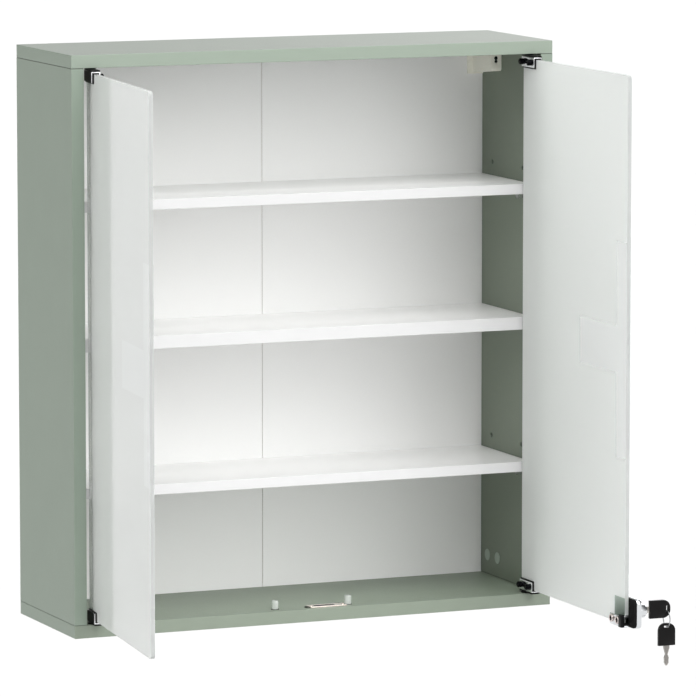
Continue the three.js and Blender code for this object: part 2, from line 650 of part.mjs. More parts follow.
const plateCore = new THREE.ExtrudeGeometry(
  roundedRectangle(LOCK_WIDTH - 2 * LOCK_BEVEL, LOCK_HEIGHT - 2 * LOCK_BEVEL, LOCK_CORNER - LOCK_BEVEL),
  {
    depth: HOUSING_THICK - 2 * LOCK_BEVEL,
    bevelThickness: LOCK_BEVEL,
    bevelSize: LOCK_BEVEL,
    bevelSegments: 2,
    curveSegments: 5,
  },
).rotateX(Math.PI / 2).translate(PLATE_X, PLATE_IN - LOCK_BEVEL, PLATE_Z);
const webX = [-FREE_EDGE + WEB_EDGE_GAP, PLATE_X + LOCK_WIDTH / 2 - LOCK_CORNER];
const webZ = [WEB_BOTTOM, WEB_BOTTOM + WEB];
const web = block(webX, [PLATE_IN - LOCK_BEVEL, HALF_GLASS], webZ);
const jawFoot = block([JAW_X[0], webX[1]], [0, JAW_Y[1]], webZ);
const jaw = block(JAW_X, JAW_Y, [WEB_BOTTOM, WEB_BOTTOM + JAW_HEIGHT]);
const pocket = block(
  [SLIDE_X[0] - BOLT_PLAY, SLIDE_X[1] + BOLT_PLAY],
  POCKET_Y,
  [ARM_BOTTOM - CRANK_THROW - BOLT_PLAY, SLIDE_TOP + BOLT_PLAY],
);
const jawScrewX = [-FREE_EDGE + JAW_SCREW_FIRST, -FREE_EDGE + JAW_SCREW_FIRST + JAW_SCREW_PITCH];
const jawScrewZ = (WEB_BOTTOM + WEB + WEB_BOTTOM + JAW_HEIGHT) / 2;
const jawThrough = [JAW_Y[0] - OVERCUT, JAW_Y[1] + OVERCUT];
const housing = cut(
  joined(plateCore, web, jawFoot, jaw),
  pocket,
  barY(BARREL_RADIUS + BARREL_PLAY, LOCK_X, [PLATE_OUT - OVERCUT, POCKET_Y[0] + OVERCUT], LOCK_Z, 24),
  ...jawScrewX.map((x) => barY(JAW_SCREW_SHANK + SCREW_PLAY, x, jawThrough, jawScrewZ, 12)),
);
add(rightDoor, 'lock_housing', housing, CHROME);

// Rubber pad between the housing and both panes, with a lip under the right door's glass and a
// window for the arm of the bolt.
const padSheet = roundedRectangle(
  LOCK_WIDTH - 2 * PAD_MARGIN,
  LOCK_HEIGHT - 2 * PAD_MARGIN,
  LOCK_CORNER - PAD_MARGIN,
);
const padThrough = [PAD_OUT - OVERCUT, PAD_OUT + PAD_THICK + OVERCUT];
const padLipZ = [webZ[1] + FIT, DOOR_BOTTOM - FIT];
const pad = joined(
  cut(
    slabY(padSheet, [PAD_OUT, PAD_OUT + PAD_THICK]).translate(PLATE_X, 0, PLATE_Z),
    block([BOLT_X[0] - NOTCH_PLAY, BOLT_X[1] + NOTCH_PLAY], padThrough, [DOOR_BOTTOM, ARM_TOP + NOTCH_PLAY]),
    block([webX[0] - FIT, webX[1] + FIT], padThrough, [WEB_BOTTOM - OVERCUT, padLipZ[0]]),
  ),
  block(webX, [PAD_OUT, HALF_GLASS], padLipZ),
);
add(rightDoor, 'lock_pad', pad, BLACK_RUBBER);

// Lock barrel: the keyed plug, with an eccentric pin on its inner end that moves the bolt.
const BARREL_FACE = PLATE_OUT - BARREL_PROUD;
const BARREL_END = POCKET_Y[0] - BARREL_PLAY;
const BOW_BASE = BARREL_FACE - BOW_STANDOFF;
const KEY_TIP = BOW_BASE + BLADE_LENGTH;
const keyway = block(
  [LOCK_X - BLADE_THICK / 2 - KEY_PLAY, LOCK_X + BLADE_THICK / 2 + KEY_PLAY],
  [BARREL_FACE - OVERCUT, KEY_TIP + KEY_PLAY],
  [LOCK_Z - BLADE_WIDTH / 2 - KEY_PLAY, LOCK_Z + BLADE_WIDTH / 2 + KEY_PLAY],
);
const shoulder = BARREL_FACE + BARREL_NOSE;
const plug = joined(
  barY(BARREL_RADIUS, LOCK_X, [shoulder, BARREL_END], LOCK_Z, 24),
  barY(BARREL_NOSE_RADIUS, LOCK_X, [BARREL_FACE, shoulder + OVERCUT], LOCK_Z, 24),
);
const crankPinY = [BARREL_END - BARREL_PLAY, SLIDE_Y[1]];
const crankPin = barY(CRANK_PIN_RADIUS, LOCK_X - CRANK_THROW, crankPinY, LOCK_Z, 12);
add(rightDoor, 'lock_barrel', joined(cut(plug, keyway), crankPin), CHROME);

// Bolt: a slide with a cross slot for the crank pin, an arm through the glass and the bolt
// itself behind it, drawn up as in the open lock.
const slotEnd = LOCK_X + CRANK_PIN_RADIUS + CRANK_PLAY;
const slide = slabY(outline([
  [SLIDE_X[0], ARM_BOTTOM],
  [SLIDE_X[1], ARM_BOTTOM],
  [SLIDE_X[1], SLIDE_TOP],
  [SLIDE_X[0], SLIDE_TOP],
  [SLIDE_X[0], LOCK_Z + slotHalf],
  [slotEnd, LOCK_Z + slotHalf],
  [slotEnd, LOCK_Z - slotHalf],
  [SLIDE_X[0], LOCK_Z - slotHalf],
]), SLIDE_Y);
const boltArm = block(BOLT_X, [SLIDE_Y[0], BOLT_Y[1]], [ARM_BOTTOM, ARM_TOP]);
const boltNose = block(BOLT_X, BOLT_Y, [WEB_BOTTOM, ARM_TOP]);
add(rightDoor, 'lock_bolt', joined(slide, boltArm, boltNose), STEEL);

// Bolt case: a black cap clipped to the jaw's end over the bolt, open below for its nose.
const CASE_Y = [JAW_Y[0], BOLT_Y[1] + BOLT_PLAY + CASE_WALL];
const CASE_TOP = ARM_TOP + BOLT_PLAY + CASE_WALL;
const lockCase = cut(
  block(CASE_X, CASE_Y, [WEB_BOTTOM, CASE_TOP]),
  block(
    [CASE_X[0] + CASE_WALL, CASE_X[1] - CASE_WALL],
    [CASE_Y[0] - OVERCUT, CASE_Y[1] - CASE_WALL],
    [WEB_BOTTOM - OVERCUT, CASE_TOP - CASE_WALL],
  ),
);
add(rightDoor, 'lock_case', lockCase, BLACK_NYLON);

// Set screws that clamp the jaw on the glass.
const jawScrewNames = ['lock_screw_near_bolt', 'lock_screw_far'];
jawScrewX.forEach((x, i) => {
  const headIn = JAW_Y[1] + FIT;
  const screw = joined(
    barY(JAW_SCREW_HEAD, x, [headIn, headIn + JAW_SCREW_PROUD], jawScrewZ),
    barY(JAW_SCREW_SHANK, x, [JAW_Y[0], headIn + OVERCUT], jawScrewZ, 12),
  );
  add(rightDoor, jawScrewNames[i], screw, STEEL);
});

// Keys are drawn hanging, with the bow's base at z = 0, the slot above and the blade below.
const slotMiddle = BOW_LENGTH - SLOT_RIM - SLOT_WIDTH / 2;
const tangHalf = BLADE_WIDTH / 2;

function keyBow() {
  const h = BOW_WIDTH / 2;
  const shape = new THREE.Shape();
  shape.moveTo(-h, 0);
  shape.lineTo(h, 0);
  shape.absarc(h - BOW_CORNER, BOW_LENGTH - BOW_CORNER, BOW_CORNER, 0, Math.PI / 2);
  shape.absarc(-h + BOW_CORNER, BOW_LENGTH - BOW_CORNER, BOW_CORNER, Math.PI / 2, Math.PI);
  const half = BOW_THICK / 2;
  const tang = block(
    [-BLADE_THICK / 2 - FIT, BLADE_THICK / 2 + FIT],
    [-tangHalf - FIT, tangHalf + FIT],
    [-OVERCUT, TANG_LENGTH + FIT],
  );
  const slot = block(
    [-half - OVERCUT, half + OVERCUT],
    [-SLOT_LENGTH / 2, SLOT_LENGTH / 2],
    [slotMiddle - SLOT_WIDTH / 2, slotMiddle + SLOT_WIDTH / 2],
  );
  return cut(slabX(shape, [-half, half], 6), tang, slot);
}

// The blade narrows to a waist, swells again and ends in a point, cut alike on both edges.
function keyBlade() {
  const rightEdge = [
    [tangHalf, TANG_LENGTH],
    ...BLADE_EDGE.map(([share, half]) => [half, -share * BLADE_LENGTH]),
  ];
  const leftEdge = rightEdge.map(([y, z]) => [-y, z]).reverse();
  return welded(slabX(outline([...rightEdge, ...leftEdge]), [-BLADE_THICK / 2, BLADE_THICK / 2]));
}

// The first key is in the barrel: its blade points along +y of the door and its bow stands out.
const key = new THREE.Group();
key.position.set(LOCK_X, BOW_BASE, LOCK_Z);
key.rotation.x = Math.PI / 2;
add(key, 'key_bow', keyBow(), BLACK_NYLON);
add(key, 'key_blade', keyBlade(), STEEL);
rightDoor.add(key);

// The ring hangs through the key's slot and round the plastic below it.
const SLOT_Y = BOW_BASE - slotMiddle;
const RING_Z = LOCK_Z - SLOT_LENGTH / 2 + RING_SLACK + RING_WIRE - RING_RADIUS;
const ring = new THREE.TorusGeometry(RING_RADIUS, RING_WIRE, 8, 32).rotateX(Math.PI / 2);
add(rightDoor, 'key_ring', welded(ring.translate(LOCK_X, SLOT_Y, RING_Z)), STEEL);

// The spare key hangs on the ring by its own slot.
const spare = new THREE.Group();
const RING_LOW = RING_Z - RING_RADIUS;
const spareSlotTop = RING_LOW + RING_WIRE + SPARE_SLACK;
spare.position.set(LOCK_X, SLOT_Y, spareSlotTop - slotMiddle - SLOT_WIDTH / 2);
add(spare, 'spare_key_bow', keyBow(), BLACK_NYLON);
add(spare, 'spare_key_blade', keyBlade(), STEEL);
rightDoor.add(spare);

// Strike plate: a long plate over the mortise, slotted for the bolt.
const strikeShape = roundedRectangle(STRIKE_LENGTH, STRIKE_WIDTH, STRIKE_CORNER);
const strikeX = MORTISE_X + STRIKE_OFFSET;
const strikeZ = [INNER_BOTTOM, INNER_BOTTOM + STRIKE_THICK];
const throughStrike = [strikeZ[0] - OVERCUT, strikeZ[1] + OVERCUT];
const boltSlot = block(BOLT_SLOT_X, BOLT_SLOT_Y, throughStrike);
const strikeScrewX = STRIKE_LENGTH / 2 - STRIKE_SCREW_INSET;
const strike = cut(
  slabZ(strikeShape, strikeZ, 6).translate(strikeX, MORTISE_Y, 0),
  boltSlot,
  barZ(STRIKE_SCREW_RADIUS, strikeX - strikeScrewX, MORTISE_Y, throughStrike, 10),
  barZ(STRIKE_SCREW_RADIUS, strikeX + strikeScrewX, MORTISE_Y, throughStrike, 10),
);
add(cabinet, 'strike_plate', strike, COPPER_PLATE);

// Door stops: clear pegs that the closed doors' glass meets.
for (const [name, side] of Object.entries(SIDES)) {
  const x = side * STOP_FROM_MIDDLE;
  const stop = joined(
    barZ(STOP_RADIUS, x, STOP_Y, [INNER_BOTTOM, INNER_BOTTOM + STOP_HEIGHT]),
    barZ(STOP_STEM_RADIUS, x, STOP_Y, [INNER_BOTTOM - STOP_STEM_LENGTH, INNER_BOTTOM + OVERCUT], 12),
  );
  add(cabinet, `${name}_door_stop`, stop, CLEAR_PLASTIC);
}

// Cabinet hangers: a plastic housing in the corner with a flange on the back board, a steel hook
// for the wall rail that rises and sinks in it, and the screw that sets its height from the front.
const HANGER_FRONT = BACK_FRONT_Y - HANGER_LENGTH;
const HANGER_BOTTOM = HANGER_TOP - HANGER_HEIGHT;
for (const [name, side] of Object.entries(SIDES)) {
  const wallFace = side * INNER_X;
  const openFace = side * (INNER_X - HANGER_THICK);
  const x = side * HOOK_X;
  const corner = HANGER_FRONT + HANGER_CORNER;
  const profile = new THREE.Shape();
  profile.moveTo(BACK_FRONT_Y, HANGER_TOP);
  profile.lineTo(HANGER_FRONT, HANGER_TOP);
  profile.absarc(corner, HANGER_BOTTOM + HANGER_CORNER, HANGER_CORNER, Math.PI, 1.5 * Math.PI);
  profile.lineTo(BACK_FRONT_Y, HANGER_TOP - HANGER_REAR_HEIGHT);
  const flange = block(
    [wallFace, openFace - side * HANGER_FLANGE_REACH],
    [BACK_FRONT_Y - HANGER_FLANGE, BACK_FRONT_Y],
    [HANGER_TOP - HANGER_REAR_HEIGHT - HANGER_FLANGE_DROP, HANGER_TOP],
  );
  const armIn = BACK_FRONT_Y - HOOK_EMBED;
  const screwZ = HANGER_TOP - HANGER_SCREW_DROP;
  const screwY = [HANGER_FRONT + HANGER_SCREW_SINK, HANGER_FRONT + HANGER_SCREW_SINK + HANGER_SCREW_LENGTH];
  const body = cut(
    joined(slabX(profile, [wallFace, openFace]), flange),
    armSpace(side, [armIn - HOOK_PLAY, BACK_FRONT_Y + OVERCUT]),
    barY(HANGER_SCREW_RADIUS + SCREW_PLAY, x, [HANGER_FRONT - OVERCUT, screwY[1] + SCREW_PLAY], screwZ),
    barY(
      HANGER_SECOND_RADIUS,
      x,
      [HANGER_FRONT - OVERCUT, HANGER_FRONT + HANGER_SECOND_DEPTH],
      HANGER_TOP - HANGER_SECOND_DROP,
      12,
    ),
  );
  add(cabinet, `${name}_hanger_body`, body, BEIGE_PLASTIC);

  const hookOut = -HOOK_WALL_GAP;
  const hook = slabX(outline([
    [armIn, ARM_Z[0]],
    [hookOut - HOOK_TIP, ARM_Z[0]],
    [hookOut - HOOK_TIP, ARM_Z[0] - HOOK_DROP],
    [hookOut, ARM_Z[0] - HOOK_DROP],
    [hookOut, ARM_Z[1]],
    [armIn, ARM_Z[1]],
  ]), [x - HOOK_PLATE / 2, x + HOOK_PLATE / 2]);
  add(cabinet, `${name}_hanger_hook`, welded(hook), STEEL);
  add(cabinet, `${name}_hanger_screw`, welded(barY(HANGER_SCREW_RADIUS, x, screwY, screwZ)), STEEL);
}

// The origin lies mid-width and mid-thickness on the top panel's rear edge, on the wall.
cabinet.position.z = -(HEIGHT - BOARD / 2);

export default cabinet;
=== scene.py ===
import json
import math

import bmesh
import bpy
from mathutils import Matrix, Vector

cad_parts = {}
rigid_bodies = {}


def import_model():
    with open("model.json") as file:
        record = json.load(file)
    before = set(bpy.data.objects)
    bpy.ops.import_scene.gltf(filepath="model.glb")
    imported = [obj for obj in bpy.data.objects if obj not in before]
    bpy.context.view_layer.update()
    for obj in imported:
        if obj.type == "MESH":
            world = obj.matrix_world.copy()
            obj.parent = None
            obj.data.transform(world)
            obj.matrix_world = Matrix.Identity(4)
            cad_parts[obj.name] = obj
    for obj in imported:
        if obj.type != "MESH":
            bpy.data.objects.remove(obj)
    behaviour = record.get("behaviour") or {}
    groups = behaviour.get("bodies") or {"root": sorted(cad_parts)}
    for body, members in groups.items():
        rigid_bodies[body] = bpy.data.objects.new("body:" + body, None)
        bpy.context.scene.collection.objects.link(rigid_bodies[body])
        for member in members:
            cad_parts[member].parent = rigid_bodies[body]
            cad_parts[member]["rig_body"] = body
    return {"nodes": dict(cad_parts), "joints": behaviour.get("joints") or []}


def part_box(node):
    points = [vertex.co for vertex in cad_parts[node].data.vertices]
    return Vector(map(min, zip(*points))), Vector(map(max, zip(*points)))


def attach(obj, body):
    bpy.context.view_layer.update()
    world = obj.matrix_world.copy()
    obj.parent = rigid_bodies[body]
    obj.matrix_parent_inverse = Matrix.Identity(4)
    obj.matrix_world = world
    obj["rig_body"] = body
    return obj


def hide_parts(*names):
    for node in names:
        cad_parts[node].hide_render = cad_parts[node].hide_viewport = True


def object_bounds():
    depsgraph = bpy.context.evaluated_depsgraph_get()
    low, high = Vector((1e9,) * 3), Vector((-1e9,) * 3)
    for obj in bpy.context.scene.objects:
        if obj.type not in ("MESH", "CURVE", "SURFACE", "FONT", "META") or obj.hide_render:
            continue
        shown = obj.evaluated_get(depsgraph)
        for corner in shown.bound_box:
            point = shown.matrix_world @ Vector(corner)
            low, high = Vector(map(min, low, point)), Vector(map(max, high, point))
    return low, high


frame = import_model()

cad_low, cad_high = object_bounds()
MM = 0.001


# Carcass boards
# Four 15 mm chipboard panels faced and edged with sage melamine paper, a satin film with a
# fine pressed pore. They are glued edge to edge, so a hairline seam shows where they meet.
def linear(hex_colour):
    """An sRGB hex colour as linear red, green, blue and alpha."""
    parts = [int(hex_colour[i:i + 2], 16) / 255 for i in (1, 3, 5)]
    return [p / 12.92 if p <= 0.04045 else ((p + 0.055) / 1.055) ** 2.4 for p in parts] + [1]


def add_node(tree, kind, inputs, **settings):
    """Adds a node, gives it its settings, and links or sets each input."""
    node = tree.nodes.new(kind)
    for name, value in settings.items():
        setattr(node, name, value)
    for socket, value in inputs.items():
        if isinstance(value, bpy.types.NodeSocket):
            tree.links.new(value, node.inputs[socket])
        else:
            node.inputs[socket].default_value = value
    return node


def start_material(name, **constants):
    """A material with a principled shader, and the place of each point on its piece."""
    material = bpy.data.materials.new(name)
    material.use_nodes = True
    tree = material.node_tree
    tree.nodes.clear()
    shader = add_node(tree, "ShaderNodeBsdfPrincipled", constants)
    add_node(tree, "ShaderNodeOutputMaterial", {"Surface": shader.outputs["BSDF"]})
    place = add_node(tree, "ShaderNodeTexCoord", {}).outputs["Object"]
    return material, tree, shader, place


def melamine(name, light, dark, roughness, zones):
    """Melamine-faced board: even colour with a faint cloud and a fine pressed pore, drawn at 1.4 mm,
    several times its real size. A zone is an axis, a distance along it, the width that it fades over
    and its own colour, such as the front edge band, partly painted light, and painted shade on the inner
    face."""
    cloud_size, pore_size, pore_depth, gloss_spread = 60 * MM, 1.4 * MM, 0.02 * MM, 0.06
    material, tree, shader, place = start_material(name)
    cloud = add_node(tree, "ShaderNodeTexNoise", {"Vector": place, "Scale": 1 / cloud_size, "Detail": 3})
    pore = add_node(tree, "ShaderNodeTexNoise", {"Vector": place, "Scale": 1 / pore_size, "Detail": 2})
    axes = add_node(tree, "ShaderNodeSeparateXYZ", {0: place})
    shade = add_node(tree, "ShaderNodeMix", {0: cloud.outputs[0], 6: linear(dark), 7: linear(light)},
                     data_type="RGBA")
    for axis, limit, fade, colour in zones:
        aside = add_node(tree, "ShaderNodeMath", {0: axes.outputs[axis]}, operation="ABSOLUTE")
        within = add_node(tree, "ShaderNodeMapRange", {
            "Value": aside.outputs[0], "From Min": limit, "From Max": limit + fade,
            "To Min": 1, "To Max": 0})
        shade = add_node(tree, "ShaderNodeMix", {
            0: within.outputs[0], 6: shade.outputs[2], 7: linear(colour)}, data_type="RGBA")
    gloss = add_node(tree, "ShaderNodeMapRange", {
        "Value": pore.outputs[0], "To Min": roughness - gloss_spread, "To Max": roughness + gloss_spread})
    bump = add_node(tree, "ShaderNodeBump", {
        "Height": pore.outputs[0], "Strength": 0.15, "Distance": pore_depth})
    tree.links.new(shade.outputs[2], shader.inputs["Base Color"])
    tree.links.new(gloss.outputs[0], shader.inputs["Roughness"])
    tree.links.new(bump.outputs[0], shader.inputs["Normal"])
    return material


weld_gap, sharp_turn = 0.001 * MM, math.radians(40)


def soften(name, material, edge):
    """Dresses a piece of the frame in a material and rounds its sharp edges."""
    node = frame["nodes"][name]
    node.data.materials.clear()
    node.data.materials.append(material)
    weld = node.modifiers.new("shared_corners", "WELD")
    weld.merge_threshold = weld_gap
    bevel = node.modifiers.new("eased_edges", "BEVEL")
    bevel.limit_method = "ANGLE"
    bevel.angle_limit = sharp_turn
    bevel.width = edge
    bevel.segments = 2
    normals = node.modifiers.new("even_shading", "WEIGHTED_NORMAL")
    normals.weight = 100


SIDES = {"left": -1, "right": 1}
ENDS = {"top": 1, "bottom": -1}
side_low, side_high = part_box("right_side_panel")
inner_x = side_low.x
band_skin, joint_skin, seam = 0.4 * MM, 0.7 * MM, 0.05 * MM
# The front edge band is a real band, but its lighter colour is partly painted light, set panel by panel:
# much lighter on the top panel, a little on the sides, hardly at all on the bottom.
edge_band_and_painted_light = ("Y", abs(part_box("top_panel")[0].y) - band_skin, -seam)
# The end faces of the top and bottom panels are painted the sides' tone: painted light.
panel_end_painted_light = ("X", side_high.x - band_skin, -seam, "#7c877b")
# The inner face of each side is painted darker: painted shade for the light that the doors and shelves
# keep off it. The dark lines at its top and bottom are the glue seams.
side_zones_with_painted_shade = [
    ("X", inner_x + band_skin, seam, "#757f70"), (*edge_band_and_painted_light, "#869386"),
    ("Z", abs(side_high.z) + joint_skin, seam, "#4f574e"),
    ("Z", abs(side_low.z) - joint_skin, -seam, "#4f574e")]
# The one sage paper is given a tone of its own on each panel, painted light for how each is lit: the top
# panel is painted darker than the sides.
sage_boards_with_painted_light = {
    "top_panel": ("#6c746a", "#676f66", [panel_end_painted_light, (*edge_band_and_painted_light, "#8d998c")]),
    "bottom_panel": ("#7d8879", "#778273", [panel_end_painted_light, (*edge_band_and_painted_light, "#7e887a")]),
    "left_side_panel": ("#7e897d", "#788377", side_zones_with_painted_shade),
    "right_side_panel": ("#7e897d", "#788377", side_zones_with_painted_shade)}
for panel, (light, dark, zones) in sage_boards_with_painted_light.items():
    board = melamine(f"sage_melamine_{panel}", light, dark, roughness=0.46, zones=zones)
    soften(panel, board, edge=0.5 * MM)


# Back boards
# Two 3 mm hardboards slid into grooves, meeting in a half lap mid-width. The face to the
# shelves is white lacquer, and the rear is bare pressed fibre.
fibre_size, lacquer_size, fibre_depth = 2.5 * MM, 1.8 * MM, 0.05 * MM
hardboard, tree, shader, place = start_material("lacquered_hardboard")
axes = add_node(tree, "ShaderNodeSeparateXYZ", {0: place})
rear_face = (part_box("back_panel_left")[1].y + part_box("back_panel_left")[0].y) / 2
is_rear = add_node(tree, "ShaderNodeMath", {0: axes.outputs["Y"], 1: rear_face}, operation="GREATER_THAN")
fibre = add_node(tree, "ShaderNodeTexNoise", {
    "Vector": place, "Scale": 1 / fibre_size, "Detail": 5, "Distortion": 1.5})
lacquer = add_node(tree, "ShaderNodeTexNoise", {"Vector": place, "Scale": 1 / lacquer_size, "Detail": 2})
bare = add_node(tree, "ShaderNodeMix", {
    0: fibre.outputs[0], 6: linear("#8a6f52"), 7: linear("#b09472")}, data_type="RGBA")
white = add_node(tree, "ShaderNodeMix", {
    0: lacquer.outputs[0], 6: linear("#f0f0ef"), 7: linear("#f5f5f4")}, data_type="RGBA")
face = add_node(tree, "ShaderNodeMix", {
    0: is_rear.outputs[0], 6: white.outputs[2], 7: bare.outputs[2]}, data_type="RGBA")
gloss = add_node(tree, "ShaderNodeMapRange", {"Value": is_rear.outputs[0], "To Min": 0.5, "To Max": 0.85})
relief = add_node(tree, "ShaderNodeMix", {
    0: is_rear.outputs[0], 2: lacquer.outputs[0], 3: fibre.outputs[0]}, data_type="FLOAT")
bump = add_node(tree, "ShaderNodeBump", {
    "Height": relief.outputs[0], "Strength": 0.3, "Distance": fibre_depth})
tree.links.new(face.outputs[2], shader.inputs["Base Color"])
tree.links.new(gloss.outputs[0], shader.inputs["Roughness"])
tree.links.new(bump.outputs[0], shader.inputs["Normal"])
for side in SIDES:
    soften(f"back_panel_{side}", hardboard, edge=0.3 * MM)


# Shelves
# White melamine boards: the middle one is fixed between the sides, and the other two lie on
# pins. All three are set back from the doors. Painted shade makes each greyer towards the front,
# where most light falls, set shelf by shelf, and darker on its front edge band, which is partly a real
# band.
shelf_front = abs(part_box("upper_shelf")[0].y) - band_skin
# Per shelf: how far back the painted shade fades, and its painted colour at the front.
shelf_painted_shade = {
    "upper_shelf": (50 * MM, "#dfdfde"), "middle_shelf": (140 * MM, "#d0d0cf"),
    "lower_shelf": (140 * MM, "#cfcfce")}
for shelf, (fade, front) in shelf_painted_shade.items():
    board = melamine(f"white_melamine_{shelf}", "#f9f9f8", "#f5f5f4", roughness=0.32, zones=[
        ("Y", shelf_front, -fade, front), ("Y", shelf_front, -seam, "#d0d0d0")])
    soften(shelf, board, edge=0.6 * MM)


# Shelf pins
# Clear moulded pegs pushed into bored holes in the side panels, each with a flat-topped ledge
# that a shelf's end lies on.
def merged_copy(name):
    """A copy of a frame piece with its corners shared and its flat faces made whole."""
    bm = bmesh.new()
    bm.from_mesh(frame["nodes"][name].data)
    bmesh.ops.remove_doubles(bm, verts=bm.verts, dist=weld_gap)
    bmesh.ops.dissolve_limit(bm, angle_limit=math.radians(1), verts=bm.verts, edges=bm.edges)
    return bm


def ease_edges(bm, edge, segments=2):
    """Rounds every sharp edge."""
    sharp = [e for e in bm.edges if e.calc_face_angle(0) > sharp_turn]
    bmesh.ops.bevel(bm, geom=sharp, offset=edge, offset_type="OFFSET", affect="EDGES", segments=segments,
                    profile=0.5, material=-1, clamp_overlap=True)


def new_piece(name, bm, material, body, slot, *stands_for):
    """Makes the mesh a named piece of one finish that rides on a body."""
    mesh = bpy.data.meshes.new(name)
    bm.to_mesh(mesh)
    bm.free()
    if "custom_normal" in mesh.attributes:
        mesh.attributes.remove(mesh.attributes["custom_normal"])
    mesh.materials.append(material)
    mesh.shade_smooth()
    mesh.set_sharp_from_angle(angle=math.radians(32))
    piece = bpy.data.objects.new(name, mesh)
    bpy.context.scene.collection.objects.link(piece)
    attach(piece, body)
    if stands_for:
        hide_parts(*stands_for)


def refine(name, node, edge, material, slot, segments=2):
    """A piece of the frame made again with rounded edges and smooth round stretches."""
    bm = merged_copy(node)
    ease_edges(bm, edge, segments)
    new_piece(name, bm, material, frame["nodes"][node]["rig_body"], slot, node)


clear_plastic, tree, shader, place = start_material(
    "clear_polycarbonate", **{"Base Color": linear("#eef2ee"), "IOR": 1.58, "Transmission Weight": 0.85})
flow_size = 3 * MM
flow = add_node(tree, "ShaderNodeTexNoise", {"Vector": place, "Scale": 1 / flow_size, "Detail": 2})
haze = add_node(tree, "ShaderNodeMapRange", {"Value": flow.outputs[0], "To Min": 0.08, "To Max": 0.3})
tree.links.new(haze.outputs[0], shader.inputs["Roughness"])
for level in ("upper", "lower"):
    for side in SIDES:
        for row in ("rear", "front"):
            refine(f"{level}_{side}_{row}_peg", f"{level}_shelf_pin_{side}_{row}", edge=0.35 * MM,
                   material=clear_plastic, slot="clear_plastic")


# Cam caps
# Push-in plastic caps over the cam fittings that draw the bottom panel to each side, two on
# each inner face near the back, coloured to match the board.
def lathe(profile, steps=48):
    """A closed shape turned about Z from (radius, height) points that start and end on the axis."""
    bm = bmesh.new()
    points = [bm.verts.new((radius, 0, height)) for radius, height in profile]
    lines = [bm.edges.new(pair) for pair in zip(points, points[1:])]
    bmesh.ops.spin(bm, geom=points + lines, cent=(0, 0, 0), axis=(0, 0, 1), angle=2 * math.pi,
                   steps=steps, use_merge=True)
    bmesh.ops.remove_doubles(bm, verts=bm.verts, dist=weld_gap)
    bmesh.ops.recalc_face_normals(bm, faces=bm.faces)
    return bm


def stand(bm, place, direction):
    """Turns a shape drawn along +Z to a direction and moves it to its place."""
    turn = Vector(direction).to_track_quat("Z", "Y").to_matrix().to_4x4()
    bmesh.ops.transform(bm, matrix=Matrix.Translation(place) @ turn, verts=bm.verts)


def moulded(name, light, dark, roughness, relief, shine=0.5):
    """Moulded plastic: faint clouds in the colour and a fine spark-eroded skin."""
    cloud_size, grain_size, gloss_spread = 6 * MM, 0.8 * MM, 0.08
    material, tree, shader, place = start_material(name, **{"IOR": 1.5, "Specular IOR Level": shine})
    cloud = add_node(tree, "ShaderNodeTexNoise", {"Vector": place, "Scale": 1 / cloud_size, "Detail": 3})
    grain = add_node(tree, "ShaderNodeTexNoise", {"Vector": place, "Scale": 1 / grain_size, "Detail": 2})
    shade = add_node(tree, "ShaderNodeMix", {0: cloud.outputs[0], 6: linear(dark), 7: linear(light)},
                     data_type="RGBA")
    gloss = add_node(tree, "ShaderNodeMapRange", {
        "Value": grain.outputs[0], "To Min": roughness - gloss_spread, "To Max": roughness + gloss_spread})
    bump = add_node(tree, "ShaderNodeBump", {
        "Height": grain.outputs[0], "Strength": 0.4, "Distance": relief})
    tree.links.new(shade.outputs[2], shader.inputs["Base Color"])
    tree.links.new(gloss.outputs[0], shader.inputs["Roughness"])
    tree.links.new(bump.outputs[0], shader.inputs["Normal"])
    return material


cap_radius, cap_rim, cap_crown = 7 * MM, 0.4 * MM, 3.5 * MM
cap_rise, cap_shoulder = 0.9 * MM, 0.72 * MM
cap_height, cap_first, cap_pitch = 23.5 * MM, 20 * MM, 29 * MM
sage_cap = moulded("sage_polystyrene", "#a4b0a4", "#98a598", roughness=0.45, relief=0.02 * MM)
floor_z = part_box("bottom_panel")[1].z
board_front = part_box("back_panel_left")[0].y
for side, sign in SIDES.items():
    for row in range(2):
        bm = lathe([(0, 0), (cap_radius, 0), (cap_radius, cap_rim), (cap_radius - cap_rim, cap_shoulder),
                    (cap_crown, cap_rise), (0, cap_rise)])
        cap_y = board_front - cap_first - row * cap_pitch
        stand(bm, (sign * inner_x, cap_y, floor_z + cap_height), (-sign, 0, 0))
        new_piece(f"{side}_cam_cap_{row + 1}", bm, sage_cap, "carcass", "sage_melamine")


# Cabinet hangers
# Beige ABS housings screwed into the upper rear corners. A zinc-plated steel hook comes out
# through the back, and a cross-head screw in the front face sets its height.
def plated(name, light, dark, roughness, spread):
    """Plated or blackened metal: tight bright shading, cloudy where the plating is thinner."""
    cloud_size, scuff_size = 5 * MM, 0.7 * MM
    material, tree, shader, place = start_material(name, Metallic=1)
    cloud = add_node(tree, "ShaderNodeTexNoise", {"Vector": place, "Scale": 1 / cloud_size, "Detail": 3})
    scuff = add_node(tree, "ShaderNodeTexNoise", {"Vector": place, "Scale": 1 / scuff_size, "Detail": 4})
    shade = add_node(tree, "ShaderNodeMix", {0: cloud.outputs[0], 6: linear(dark), 7: linear(light)},
                     data_type="RGBA")
    gloss = add_node(tree, "ShaderNodeMapRange", {
        "Value": scuff.outputs[0], "To Min": roughness - spread, "To Max": roughness + spread})
    tree.links.new(shade.outputs[2], shader.inputs["Base Color"])
    tree.links.new(gloss.outputs[0], shader.inputs["Roughness"])
    return material


